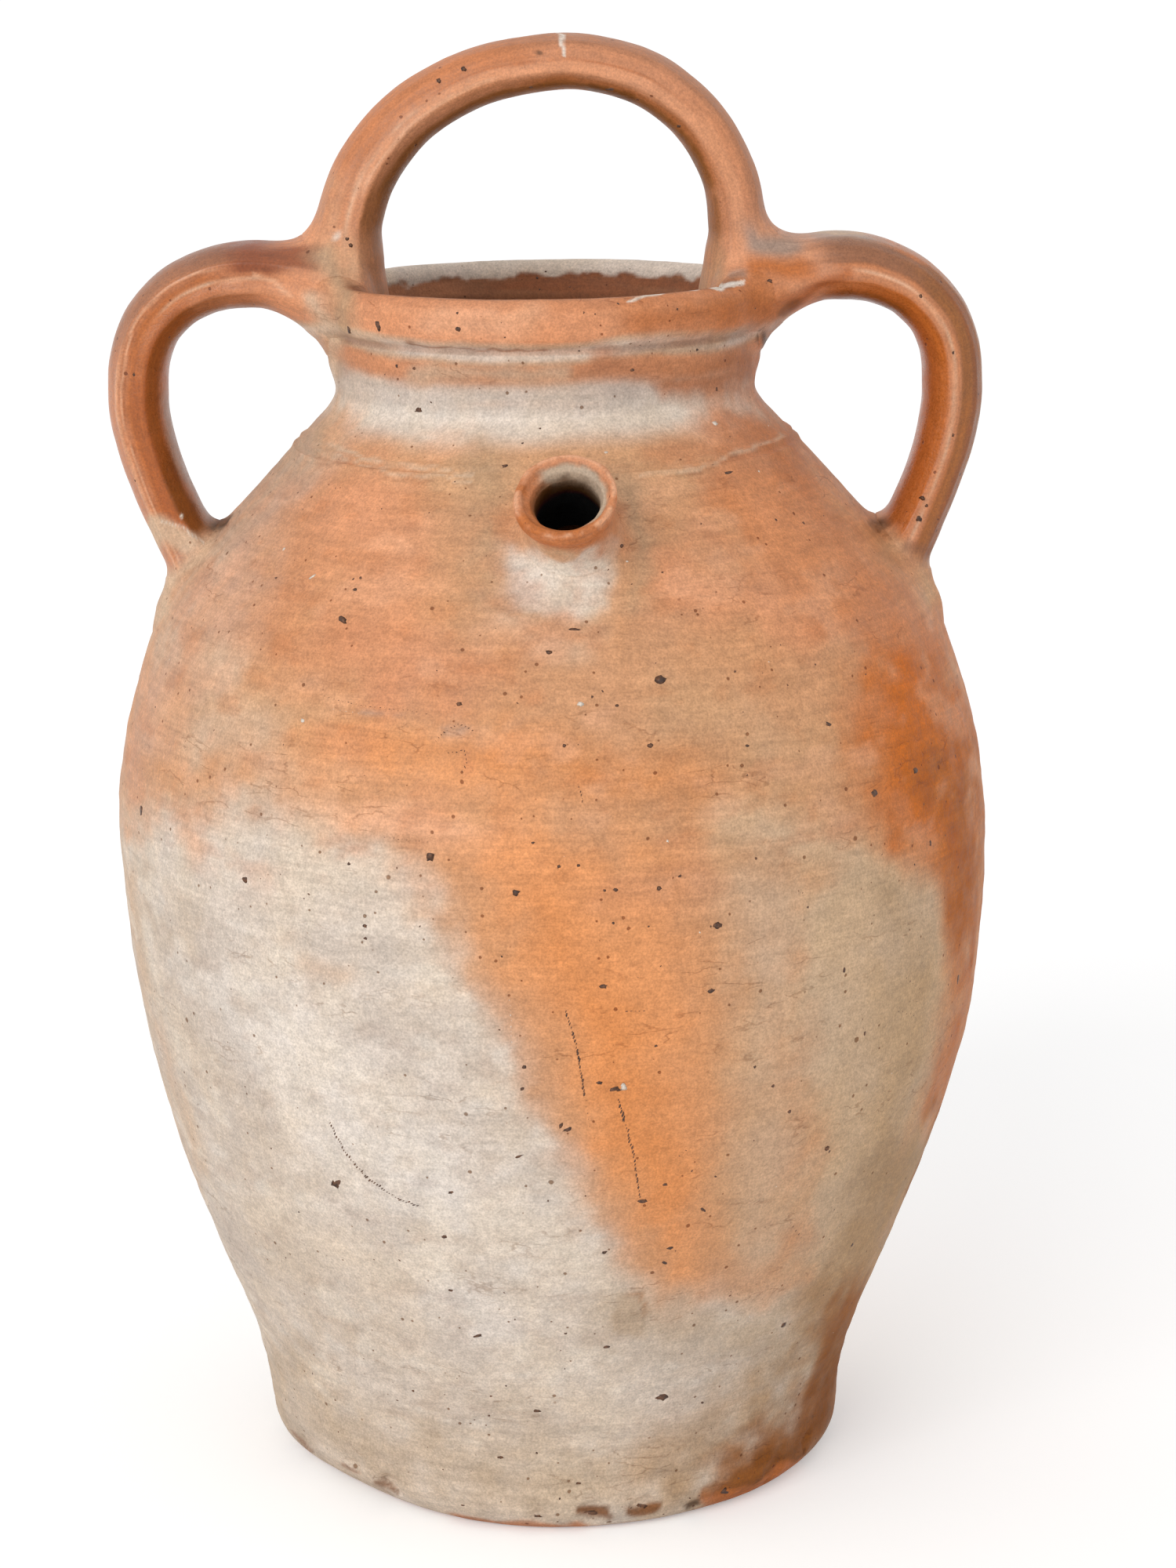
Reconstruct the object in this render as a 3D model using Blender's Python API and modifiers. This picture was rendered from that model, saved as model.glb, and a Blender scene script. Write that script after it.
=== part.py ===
"""Three-handled stoneware pot with a short pouring spout on its shoulder.

The pot is made the way a potter makes it. The body is thrown in one piece: a turned wall with
a rounded heel, a full belly, a sloping shoulder, a short neck and a banded rim. Three pulled
straps are luted on: a bail that stands astride the rim and arches over the mouth, and an ear
on each side, which runs from the foot of the bail outwards and down to the shoulder. A short
thrown tube is luted over a hole in the front of the shoulder as the spout.

Lengths are in metres and +Z is up. The origin is the centre of the underside, and the spout
faces -Y. Every piece is laid out on a straight upright pot first, and lean() then bends the
whole pot a little to its left, as the real one stands.
"""
import math

import bmesh
import bpy
from mathutils import Matrix, Vector
from mathutils.geometry import interpolate_bezier

# Thrown body: the heights of its stretches from the table up, and outer radii from the pot's own axis
FOOT_HEIGHT = 0.012
LOWER_WALL_HEIGHT = 0.185
SHOULDER_HEIGHT = 0.143
NECK_HEIGHT = 0.035
FOOT_RADIUS = 0.0923
BELLY_RADIUS = 0.1365
NECK_RADIUS = 0.0642
HEEL_ROUNDING = 0.0085
WALL = 0.008
NECK_WALL = 0.0085
FLOOR = 0.012
FLOOR_CORNER = 0.016

# How far the shoulder has swollen from neck to belly, at shares of the way down to the belly
SHOULDER_SHARES = (
    (0.0, 0.0), (0.055, 0.095), (0.12, 0.22), (0.31, 0.56),
    (0.44, 0.755), (0.60, 0.885), (0.80, 0.98), (1.0, 1.0),
)
# How far the wall has swollen from foot to belly, at shares of the way up to the belly
LOWER_WALL_SHARES = (
    (0.75, 0.91), (0.54, 0.705), (0.34, 0.415), (0.22, 0.215), (0.14, 0.10), (0.07, 0.035), (0.0, 0.0),
)

# Banded rim, with a groove between the band and the neck
RIM_PROJECTION = 0.0038
RIM_BAND_HEIGHT = 0.0135
RIM_BAND_SLOPE = 0.0012
LIP_ROUNDING = 0.0048
GROOVE_HEIGHT = 0.0030
GROOVE_DEPTH = 0.0012

# Pulled bail over the mouth, standing a little inside the crest of the lip
BAIL_INSET = 0.0036
BAIL_RISE = 0.0655
BAIL_THICKNESS = 0.0176
BAIL_WIDTH = 0.026
RIM_LAP = 0.008
# Half spans sideways, rises above the rim and swell of the strap; the crown sits to the right
BAIL_PATH_SHARES = (
    (-1.0, 0.07, 1.22), (-0.985, 0.31, 1.14), (-0.80, 0.64, 1.08), (-0.47, 0.875, 1.02),
    (-0.06, 0.985, 0.97), (0.32, 0.98, 0.95), (0.68, 0.83, 0.95), (0.94, 0.51, 0.95),
    (1.0, 0.22, 1.0), (1.0, 0.07, 1.18),
)
BAIL_FOOT_SWELL_SHARE = 1.42

# Pulled ears: the root is buried in the rim, and the landing lies on the shoulder
EAR_ROOT_INSET = 0.0052
EAR_ROOT_DROP = 0.0045
EAR_RISE = 0.0026
EAR_OVERHANG = 0.0082
EAR_LANDING_SINK = 0.0145
EAR_THICKNESS = 0.0184
EAR_WIDTH = 0.026
# Share of the way down the shoulder at which an ear lands
EAR_LANDING_SHARE = 0.427
# Shares of the reach past the root, and of the drop from the top, with the strap's swell
EAR_UPPER_SHARES = (
    (0.26, 0.02, 1.20), (0.50, 0.0, 1.12), (0.72, 0.035, 1.06), (0.86, 0.10, 1.03), (0.96, 0.20, 1.01),
)
# Shares of the reach past the landing, and of the drop, with the strap's swell
EAR_LOWER_SHARES = (
    (1.0, 0.38, 1.0), (0.94, 0.50, 0.98), (0.76, 0.645, 0.95), (0.54, 0.77, 0.96), (0.32, 0.87, 1.04),
)
EAR_ROOT_SWELL_SHARE = 1.22
EAR_LANDING_SWELL_SHARE = 1.16

# Pulling leaves soft ridges along a strap: their height as a share of its thickness
RIDGE_SHARE = 0.035
RIDGES_ROUND_STRAP = 6
STRAP_SQUARENESS = 2.35

# Spout, a thrown tube with a rolled rim; its bore runs on through the shoulder wall
SPOUT_BORE_RADIUS = 0.0092
SPOUT_WALL = 0.0038
SPOUT_BEAD_PROJECTION = 0.0017
SPOUT_BEAD_HEIGHT = 0.0072
SPOUT_FLARE_DEPTH = 0.0055
SPOUT_LIP_ROUNDING = 0.0014
SPOUT_PROTRUSION = 0.019
SPOUT_ROOT_DEPTH = 0.011
SPOUT_PLACE_DEGREES = 3.5
SPOUT_TURN_DEGREES = -8.0
SPOUT_RISE_DEGREES = 46.0
# Share of the way down the shoulder at which the spout stands
SPOUT_PLACE_SHARE = 0.208
WALLS_PAST_SPOUT = 3.0

# How far the pot's axis has moved sideways at the mouth
LEAN_AT_MOUTH = 0.0028

# Joints are closed with slip on the real pot; the solids keep this gap instead
SEAT_GAP = 0.0003

# Fineness
BODY_STEPS = 48
SPOUT_STEPS = 28
STRAP_SIDES = 20
WALL_STEPS = 2
INNER_WALL_STEPS = 1
ARC_STEPS = 4
STRAP_RINGS_PER_POINT = 3
MERGE_DISTANCE = 0.00001
SHARP_DEGREES = 40.0

# Colour and roughness of the fired clay, plain on the body and flashed by the fire on the handles
CREAM_STONEWARE = ((0.80, 0.60, 0.45), 0.55)
FLASHED_STONEWARE = ((0.63, 0.33, 0.19), 0.35)

# Heights above the table and radii that follow from the sizes above
BELLY_HEIGHT = FOOT_HEIGHT + LOWER_WALL_HEIGHT
NECK_BASE_HEIGHT = BELLY_HEIGHT + SHOULDER_HEIGHT
MOUTH_HEIGHT = NECK_BASE_HEIGHT + NECK_HEIGHT
RIM_RADIUS = NECK_RADIUS + RIM_PROJECTION
CREST_RADIUS = RIM_RADIUS - LIP_ROUNDING
SPOUT_TUBE_RADIUS = SPOUT_BORE_RADIUS + SPOUT_WALL
SPOUT_BEAD_RADIUS = SPOUT_TUBE_RADIUS + SPOUT_BEAD_PROJECTION


def clear_scene():
    """Remove every object of the scene that the script starts in."""
    for obj in list(bpy.data.objects):
        bpy.data.objects.remove(obj, do_unlink=True)


def new_collection(name):
    """Make a collection of the scene."""
    collection = bpy.data.collections.new(name)
    bpy.context.scene.collection.children.link(collection)
    return collection


def stoneware(name, finish):
    """Make a fired clay material from its colour and roughness."""
    colour, roughness = finish
    material = bpy.data.materials.new(name)
    material.use_nodes = True
    shader = material.node_tree.nodes["Principled BSDF"]
    shader.inputs["Base Color"].default_value = (*colour, 1.0)
    shader.inputs["Roughness"].default_value = roughness
    shader.inputs["Metallic"].default_value = 0.0
    return material


def lean(point):
    """Bend a point of the upright pot to where it is on the leaning one."""
    up_share = point.z / MOUTH_HEIGHT
    slope = 2.0 * LEAN_AT_MOUTH * up_share / MOUTH_HEIGHT
    shift = LEAN_AT_MOUTH * up_share * up_share
    return Vector((point.x * math.cos(slope) - shift, point.y, point.z + point.x * math.sin(slope)))


def smooth_line(points, steps):
    """Run a smooth curve through points (radius, height), with steps per stretch."""
    knots = [Vector((radius, 0.0, height)) for radius, height in points]
    line = []
    for i in range(len(knots) - 1):
        here, there = knots[i], knots[i + 1]
        before = knots[i - 1] if i > 0 else here
        after = knots[i + 2] if i + 2 < len(knots) else there
        span = (there - here).length
        leave = (there - before).normalized() * span / 3.0
        arrive = (after - here).normalized() * span / 3.0
        stretch = interpolate_bezier(here, here + leave, there - arrive, there, steps + 1)
        line.extend((p.x, p.z) for p in stretch[:-1])
    line.append(points[-1])
    return line


def arc(centre, radii, start_degrees, end_degrees, steps):
    """Points (radius, height) on a quarter or half round, ellipse radii allowed."""
    points = []
    for i in range(steps + 1):
        angle = math.radians(start_degrees + (end_degrees - start_degrees) * i / steps)
        points.append((centre[0] + radii[0] * math.cos(angle), centre[1] + radii[1] * math.sin(angle)))
    return points


def offset_line(line, distance):
    """Move an open line (radius, height) sideways, to the right of the way it runs."""
    moved = []
    for i in range(len(line)):
        before = line[max(i - 1, 0)]
        after = line[min(i + 1, len(line) - 1)]
        run = Vector((after[0] - before[0], after[1] - before[1])).normalized()
        moved.append((line[i][0] + run.y * distance, line[i][1] - run.x * distance))
    return moved


def wall_line(steps):
    """The outer wall from the root of the neck down to the heel."""
    knots = []
    for down, out in SHOULDER_SHARES:
        radius = NECK_RADIUS + out * (BELLY_RADIUS - NECK_RADIUS)
        knots.append((radius, NECK_BASE_HEIGHT - down * SHOULDER_HEIGHT))
    for up, out in LOWER_WALL_SHARES:
        radius = FOOT_RADIUS + out * (BELLY_RADIUS - FOOT_RADIUS)
        knots.append((radius, FOOT_HEIGHT + up * LOWER_WALL_HEIGHT))
    return smooth_line(knots, steps)


def shoulder_place(down_share):
    """Radius and height of the outer wall at a share of the way down the shoulder."""
    height = NECK_BASE_HEIGHT - down_share * SHOULDER_HEIGHT
    line = wall_line(WALL_STEPS)
    for upper, lower in zip(line, line[1:]):
        if lower[1] <= height <= upper[1]:
            share = (upper[1] - height) / (upper[1] - lower[1])
            return upper[0] + share * (lower[0] - upper[0]), height
    return line[0]


def outer_line():
    """The outside of the body, from the outer edge of the lip down to the underside."""
    band_foot = MOUTH_HEIGHT - RIM_BAND_HEIGHT
    line = [
        (RIM_RADIUS, MOUTH_HEIGHT - LIP_ROUNDING),
        (RIM_RADIUS - RIM_BAND_SLOPE, band_foot),
        (NECK_RADIUS - GROOVE_DEPTH, band_foot - GROOVE_HEIGHT / 2.0),
        (NECK_RADIUS, band_foot - GROOVE_HEIGHT),
    ]
    line += wall_line(WALL_STEPS)
    flat_radius = FOOT_RADIUS - HEEL_ROUNDING
    heel = arc((flat_radius, FOOT_HEIGHT), (HEEL_ROUNDING, FOOT_HEIGHT), 0.0, -90.0, ARC_STEPS)
    return line + heel[1:]


def lip_line():
    """The rounded lip, from the mouth over to the outer edge."""
    centre = (CREST_RADIUS, MOUTH_HEIGHT - LIP_ROUNDING)
    return arc(centre, (LIP_ROUNDING, LIP_ROUNDING), 180.0, 0.0, 2 * ARC_STEPS)[:-1]


def inner_line():
    """The inside of the body, from the centre of the floor up to the throat."""
    wall = offset_line(wall_line(INNER_WALL_STEPS), WALL)
    wall.reverse()
    wall = [point for point in wall if point[1] > FLOOR + FLOOR_CORNER]
    foot = wall[0][0] - FLOOR_CORNER
    corner = arc((foot, FLOOR + FLOOR_CORNER), (FLOOR_CORNER, FLOOR_CORNER), -90.0, 0.0, ARC_STEPS)
    throat = NECK_RADIUS - NECK_WALL
    wall = [point for point in wall if point[0] > throat]
    neck = [(throat, NECK_BASE_HEIGHT), (throat, MOUTH_HEIGHT - RIM_BAND_HEIGHT)]
    return [(0.0, FLOOR)] + corner[:-1] + wall + neck


def body_line():
    """The body's whole section, from the centre of the floor over the lip to the centre underneath."""
    return inner_line() + lip_line() + outer_line() + [(0.0, 0.0)]


def solid_line():
    """The section of the body with its mouth filled, as its handles and spout meet it."""
    return [(0.0, MOUTH_HEIGHT)] + lip_line()[ARC_STEPS:] + outer_line() + [(0.0, 0.0)]


def grown_line(line):
    """A section grown all round by the gap that its neighbours keep."""
    grown = offset_line(line, -SEAT_GAP)
    grown[0] = (0.0, grown[0][1])
    grown[-1] = (0.0, grown[-1][1])
    return grown


def turned(name, points, steps, closed, collection):
    """Turn a profile (radius, height) about Z with a Screw modifier and return it as a mesh object."""
    mesh = bpy.data.meshes.new(name + "_profile")
    edges = [(i, i + 1) for i in range(len(points) - 1)]
    if closed:
        edges.append((len(points) - 1, 0))
    mesh.from_pydata([(radius, 0.0, height) for radius, height in points], edges, [])
    obj = bpy.data.objects.new(name + "_profile", mesh)
    collection.objects.link(obj)
    screw = obj.modifiers.new("Turn", "SCREW")
    screw.axis = "Z"
    screw.steps = steps
    screw.render_steps = steps
    screw.use_merge_vertices = True
    screw.merge_threshold = MERGE_DISTANCE
    return as_mesh(obj, name, collection)


def as_mesh(source, name, collection):
    """Turn an evaluated curve or modified object into a welded mesh object of its own."""
    bpy.context.view_layer.update()
    depsgraph = bpy.context.evaluated_depsgraph_get()
    mesh = bpy.data.meshes.new_from_object(source.evaluated_get(depsgraph))
    mesh.name = name
    work = bmesh.new()
    work.from_mesh(mesh)
    bmesh.ops.remove_doubles(work, verts=work.verts, dist=MERGE_DISTANCE)
    bmesh.ops.recalc_face_normals(work, faces=work.faces)
    work.to_mesh(mesh)
    work.free()
    result = bpy.data.objects.new(name, mesh)
    result.matrix_world = source.matrix_world.copy()
    collection.objects.link(result)
    bpy.data.objects.remove(source, do_unlink=True)
    return result


def lean_mesh(obj):
    """Bend the vertices of an upright mesh with the pot."""
    for vertex in obj.data.vertices:
        vertex.co = lean(vertex.co)


def strap_section(name, thickness, width, grow, collection):
    """Outline of a pulled strap: a rounded oval with soft ridges, grown for a cutter."""
    curve = bpy.data.curves.new(name, "CURVE")
    curve.dimensions = "2D"
    spline = curve.splines.new("POLY")
    spline.points.add(STRAP_SIDES - 1)
    spline.use_cyclic_u = True
    for i in range(STRAP_SIDES):
        angle = 2.0 * math.pi * i / STRAP_SIDES
        across = math.cos(angle)
        along = math.sin(angle)
        power = 2.0 / STRAP_SQUARENESS
        ridge = RIDGE_SHARE * thickness * math.cos(RIDGES_ROUND_STRAP * angle)
        half_width = width / 2.0 + ridge + grow
        half_thickness = thickness / 2.0 + grow
        x = math.copysign(abs(across) ** power, across) * half_width
        y = math.copysign(abs(along) ** power, along) * half_thickness
        spline.points[i].co = (x, y, 0.0, 1.0)
    section = bpy.data.objects.new(name, curve)
    section.hide_render = True
    section.display_type = "WIRE"
    collection.objects.link(section)
    return section


def pulled_strap(name, path, thickness, width, grow, collection):
    """Sweep a strap along a path of (x, height, swell) in the pot's upright middle plane."""
    section = strap_section(name + "_section", thickness, width, grow, collection)
    curve = bpy.data.curves.new(name + "_path", "CURVE")
    curve.dimensions = "3D"
    curve.resolution_u = STRAP_RINGS_PER_POINT
    curve.render_resolution_u = STRAP_RINGS_PER_POINT
    curve.bevel_mode = "OBJECT"
    curve.bevel_object = section
    curve.use_fill_caps = True
    spline = curve.splines.new("BEZIER")
    spline.bezier_points.add(len(path) - 1)
    places = [lean(Vector((x, 0.0, height))) for x, height, swell in path]
    places[0] += (places[0] - places[1]).normalized() * grow
    places[-1] += (places[-1] - places[-2]).normalized() * grow
    for point, place, (x, height, swell) in zip(spline.bezier_points, places, path):
        point.co = place
        point.handle_left_type = "AUTO"
        point.handle_right_type = "AUTO"
        point.radius = swell
    path_object = bpy.data.objects.new(name + "_path", curve)
    collection.objects.link(path_object)
    strap = as_mesh(path_object, name, collection)
    bpy.data.objects.remove(section, do_unlink=True)
    return strap


def bail_path():
    """The bail from its left foot over the mouth to its right foot."""
    half_span = CREST_RADIUS - BAIL_INSET
    foot = MOUTH_HEIGHT - RIM_LAP
    path = [(-half_span, foot, BAIL_FOOT_SWELL_SHARE)]
    path += [(out * half_span, MOUTH_HEIGHT + up * BAIL_RISE, swell) for out, up, swell in BAIL_PATH_SHARES]
    path.append((half_span, foot, BAIL_FOOT_SWELL_SHARE))
    return path


def ear_path(side):
    """An ear from inside the rim out to its full reach and down to the shoulder; side is 1 or -1."""
    wall_radius, landing_height = shoulder_place(EAR_LANDING_SHARE)
    root = CREST_RADIUS - EAR_ROOT_INSET
    landing = wall_radius - EAR_LANDING_SINK
    reach = wall_radius + EAR_OVERHANG
    top = MOUTH_HEIGHT + EAR_RISE
    drop = top - landing_height
    path = [(side * root, MOUTH_HEIGHT - EAR_ROOT_DROP, EAR_ROOT_SWELL_SHARE)]
    for start, shares in ((root, EAR_UPPER_SHARES), (landing, EAR_LOWER_SHARES)):
        for out, down, swell in shares:
            path.append((side * (start + out * (reach - start)), top - down * drop, swell))
    path.append((side * landing, landing_height, EAR_LANDING_SWELL_SHARE))
    return path


def spout_matrix():
    """Where the middle of the spout's mouth is, with local Z out along the spout."""
    place = math.radians(SPOUT_PLACE_DEGREES)
    rise = math.radians(SPOUT_RISE_DEGREES)
    wall_radius, wall_height = shoulder_place(SPOUT_PLACE_SHARE)
    reach = wall_radius + SPOUT_PROTRUSION * math.cos(rise)
    height = wall_height + SPOUT_PROTRUSION * math.sin(rise)
    middle = lean(Vector((reach * math.sin(place), -reach * math.cos(place), height)))
    turn = Matrix.Rotation(math.radians(SPOUT_TURN_DEGREES), 4, "Z")
    tip = Matrix.Rotation(math.radians(90.0) - rise, 4, "X")
    return Matrix.Translation(middle) @ turn @ tip


def spout_outline():
    """Section of the spout's wall, up the bore, over the rolled rim and down the outside."""
    root = -SPOUT_PROTRUSION - SPOUT_ROOT_DEPTH
    rounding = (SPOUT_LIP_ROUNDING, SPOUT_LIP_ROUNDING)
    crest = (SPOUT_BEAD_RADIUS - SPOUT_LIP_ROUNDING, -SPOUT_LIP_ROUNDING)
    bead = (SPOUT_BEAD_PROJECTION, SPOUT_BEAD_HEIGHT / 2.0)
    outline = [(SPOUT_BORE_RADIUS, root), (SPOUT_BORE_RADIUS, -SPOUT_FLARE_DEPTH)]
    outline.append((crest[0] - SPOUT_LIP_ROUNDING, -SPOUT_LIP_ROUNDING / 2.0))
    outline += arc(crest, rounding, 90.0, 0.0, ARC_STEPS)
    outline += arc((SPOUT_TUBE_RADIUS, -SPOUT_BEAD_HEIGHT / 2.0), bead, 0.0, -90.0, ARC_STEPS)
    return outline + [(SPOUT_TUBE_RADIUS, root)]


def cut(target, cutter):
    """Take a cutter out of a piece."""
    boolean = target.modifiers.new(cutter.name, "BOOLEAN")
    boolean.operation = "DIFFERENCE"
    boolean.solver = "EXACT"
    boolean.object = cutter
    cutter.hide_render = True
    cutter.display_type = "WIRE"


def dress(obj, material):
    """Give a piece its material and smooth shading with sharp seats."""
    obj.data.materials.clear()
    obj.data.materials.append(material)
    obj.data.shade_smooth()
    obj.data.set_sharp_from_angle(angle=math.radians(SHARP_DEGREES))


def build_pot():
    """Model the pot."""
    clear_scene()
    pot = new_collection("three_handled_stoneware_pot")
    cutters = new_collection("cutters")
    cream = stoneware("cream_stoneware", CREAM_STONEWARE)
    flashed = stoneware("flashed_stoneware", FLASHED_STONEWARE)

    # The body, and the two shapes of it that its neighbours are seated against
    body = turned("thrown_body", body_line(), BODY_STEPS, False, pot)
    rim_seat = turned("rim_seat", grown_line(body_line()), BODY_STEPS, False, cutters)
    outside_seat = turned("outside_seat", grown_line(solid_line()), BODY_STEPS, False, cutters)
    for obj in (body, rim_seat, outside_seat):
        lean_mesh(obj)

    # The spout and the hole that its bore makes in the shoulder
    spout = turned("pouring_spout", spout_outline(), SPOUT_STEPS, True, pot)
    spout.matrix_world = spout_matrix()
    cut(spout, outside_seat)
    depth = SPOUT_PROTRUSION + WALLS_PAST_SPOUT * WALL
    bpy.ops.mesh.primitive_cylinder_add(vertices=SPOUT_STEPS, radius=SPOUT_BORE_RADIUS, depth=depth)
    bore = bpy.context.object
    bore.name = "spout_bore"
    bore.matrix_world = spout_matrix() @ Matrix.Translation((0.0, 0.0, -depth / 2.0))
    for collection in list(bore.users_collection):
        collection.objects.unlink(bore)
    cutters.objects.link(bore)
    cut(body, bore)

    # The bail stands astride the rim
    bail = pulled_strap("bail_handle", bail_path(), BAIL_THICKNESS, BAIL_WIDTH, 0.0, pot)
    cut(bail, rim_seat)
    bail_seat = pulled_strap("bail_seat", bail_path(), BAIL_THICKNESS, BAIL_WIDTH, SEAT_GAP, cutters)

    # Each ear butts against the bail's foot and the rim, and lands on the shoulder
    for name, side in (("left_ear_handle", -1), ("right_ear_handle", 1)):
        ear = pulled_strap(name, ear_path(side), EAR_THICKNESS, EAR_WIDTH, 0.0, pot)
        cut(ear, outside_seat)
        cut(ear, bail_seat)
        dress(ear, flashed)
    dress(body, cream)
    dress(spout, cream)
    dress(bail, flashed)


build_pot()
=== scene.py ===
"""Three-handled stoneware pot: the looks of a wood-fired jar with a bail, two ears and a spout.

The five luted pieces are modelled on a straight upright pot and then bent with it, as in the
CAD. Each piece is a closed skin of its own. Where two pieces meet, both skins are drawn out to
one shared fillet, as wet slip does, and each one dives under its neighbour past the joint.
Colours are laid on in the order that the fire leaves them, at places named by their pixel in the
photograph, and the grain, mottling and gloss come from nodes. Some of the laid colours are painted
shade and painted highlights: inside the jar and the bore, in the creases at the joints, round the
foot and on the straps.

Lengths are in metres and +Z is up. Colours are written as sRGB, from 0 to 255.
"""
from __future__ import annotations

import itertools
import logging
import math
from collections.abc import Callable, Sequence
from dataclasses import dataclass, field
from enum import Enum
from functools import cached_property
from typing import TypeVar

import bpy
import numpy as np
from mathutils import Matrix, Vector
from mathutils.bvhtree import BVHTree
from mathutils.geometry import interpolate_bezier

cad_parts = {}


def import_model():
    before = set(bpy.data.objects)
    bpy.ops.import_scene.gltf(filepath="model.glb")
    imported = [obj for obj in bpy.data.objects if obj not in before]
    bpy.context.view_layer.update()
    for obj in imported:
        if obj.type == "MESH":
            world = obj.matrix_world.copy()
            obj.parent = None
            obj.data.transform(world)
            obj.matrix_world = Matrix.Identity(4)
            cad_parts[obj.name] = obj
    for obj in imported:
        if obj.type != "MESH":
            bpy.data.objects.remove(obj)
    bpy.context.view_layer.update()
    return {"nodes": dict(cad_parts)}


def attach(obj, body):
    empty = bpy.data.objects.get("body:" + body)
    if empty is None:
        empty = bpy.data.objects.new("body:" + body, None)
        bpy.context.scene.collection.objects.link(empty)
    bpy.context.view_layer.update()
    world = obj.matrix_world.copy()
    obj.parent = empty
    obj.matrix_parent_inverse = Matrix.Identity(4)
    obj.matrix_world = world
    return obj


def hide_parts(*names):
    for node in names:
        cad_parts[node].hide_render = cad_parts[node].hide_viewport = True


LOG = logging.getLogger("stoneware_pot")

Array = np.ndarray
Pixel = tuple[float, float]
Colour = tuple[int, int, int]
Knot = tuple[float, float, float]
Distance = Callable[[Array], Array]
Measure = Callable[[Array], Sequence[Array]]
Inputs = dict[str | int, object]
Socket = bpy.types.NodeSocket
Row = TypeVar("Row")

MILLIMETRE = 0.001
TENTHS_PER_METRE = 10_000
HUNDREDTHS_PER_METRE = 100_000
FULL_TURN = 2.0 * math.pi
COLOUR_ATTRIBUTE = "fired_colour"
GRAIN_ATTRIBUTE = "grain_way"


class Piece(Enum):
    """The pieces of clay that the pot is made of."""

    JAR = "thrown_body"
    SPOUT = "pouring_spout"
    BAIL = "bail_handle"
    LEFT_EAR = "left_ear_handle"
    RIGHT_EAR = "right_ear_handle"


class Ends(Enum):
    """How the first and last rings of a skin are closed."""

    FANS = "fans"
    LOOP = "loop"


def rows(kind: Callable[..., Row], *values: tuple) -> tuple[Row, ...]:
    """Make one object of a kind from each row of values."""
    return tuple(kind(*row) for row in values)


def linear(colour: Colour) -> Array:
    """Turn a written sRGB colour into three linear values."""
    share = np.array(colour, dtype=float) / 255.0
    return np.where(share <= 0.04045, share / 12.92, ((share + 0.055) / 1.055) ** 2.4)


def eased(value: Array, start: float, end: float) -> Array:
    """Rise smoothly from 0 at start to 1 at end, which may also lie below it."""
    share = np.clip((value - start) / (end - start), 0.0, 1.0)
    return share * share * (3.0 - 2.0 * share)


def bell(value: Array, middle: float, reach: float) -> Array:
    """A soft bump that is 1 at its middle and nearly 0 two reaches away."""
    return np.exp(-(((value - middle) / reach) ** 2))


def smooth_least(first: Array, second: Array, blend: Array) -> Array:
    """The smaller of two distances, rounded off where they differ by less than the blend."""
    share = np.maximum(blend - np.abs(first - second), 0.0) / blend
    return np.minimum(first, second) - share * share * blend / 4.0


def resampled(line: Array, spacing: float) -> Array:
    """Place points evenly along an open line.

    Args:
        line: Points, one per row.
        spacing: The wished distance between neighbours.

    Returns:
        The new points, with both ends kept.
    """
    steps = np.linalg.norm(np.diff(line[:, :2], axis=0), axis=1)
    way = np.concatenate([[0.0], np.cumsum(steps)])
    at = np.linspace(0.0, way[-1], max(2, round(way[-1] / spacing) + 1))
    return np.stack([np.interp(at, way, line[:, k]) for k in range(line.shape[1])], axis=1)


def nearest_on_line(line: Array, places: Array, closed: bool = False) -> tuple[Array, Array]:
    """Find the nearest point of a polyline in a plane.

    Args:
        line: The polyline's points, one per row.
        places: The places to measure from.
        closed: Whether the last point joins the first.

    Returns:
        The distances, and how many steps along the line the nearest points are.
    """
    ends = np.roll(line, -1, axis=0) if closed else line[1:]
    least = np.full(len(places), np.inf)
    along = np.zeros(len(places))
    for i, (start, end) in enumerate(zip(line, ends)):
        run = end - start
        offset = places - start
        share = np.clip(offset @ run / max(float(run @ run), 1e-18), 0.0, 1.0)
        gap = np.linalg.norm(offset - share[:, None] * run, axis=1)
        nearer = gap < least
        least = np.where(nearer, gap, least)
        along = np.where(nearer, i + share, along)
    return least, along


def within_outline(outline: Array, places: Array) -> Array:
    """Tell which places lie within a closed outline in a plane."""
    within = np.zeros(len(places), dtype=bool)
    for start, end in zip(outline, np.roll(outline, -1, axis=0)):
        if start[1] == end[1]:
            continue
        crosses = (start[1] > places[:, 1]) != (end[1] > places[:, 1])
        at = start[0] + (places[:, 1] - start[1]) * (end[0] - start[0]) / (end[1] - start[1])
        within ^= crosses & (places[:, 0] < at)
    return within


class ClayNoise:
    """A smooth random field in space that is the same on every run."""

    SIDE = 32

    def __init__(self, seed: int) -> None:
        """Draw the field's values on a lattice."""
        self._values = np.random.default_rng(seed).uniform(-1.0, 1.0, (self.SIDE,) * 3)

    def at(self, points: Array, cell: float | tuple[float, float, float], layers: int = 1) -> Array:
        """Read the field.

        Args:
            points: Places in space.
            cell: The size of its coarsest features, one for all or one for each axis.
            layers: How many times finer features are added, each half as strong.

        Returns:
            One value per point, between -1 and 1.
        """
        where = points / np.asarray(cell)
        total = np.zeros(len(points))
        for layer in range(layers):
            total += self._layer(where * 2.0**layer + 5.37 * layer) * 0.5**layer
        return total

    def _layer(self, where: Array) -> Array:
        """Read one layer at places that are given in cells."""
        base = np.floor(where).astype(int)
        part = where - base
        part = part * part * (3.0 - 2.0 * part)
        total = np.zeros(len(where))
        for corner in itertools.product((0, 1), repeat=3):
            i, j, k = ((base + corner) % self.SIDE).T
            total += np.prod(np.where(corner, part, 1.0 - part), axis=1) * self._values[i, j, k]
        return total


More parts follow.
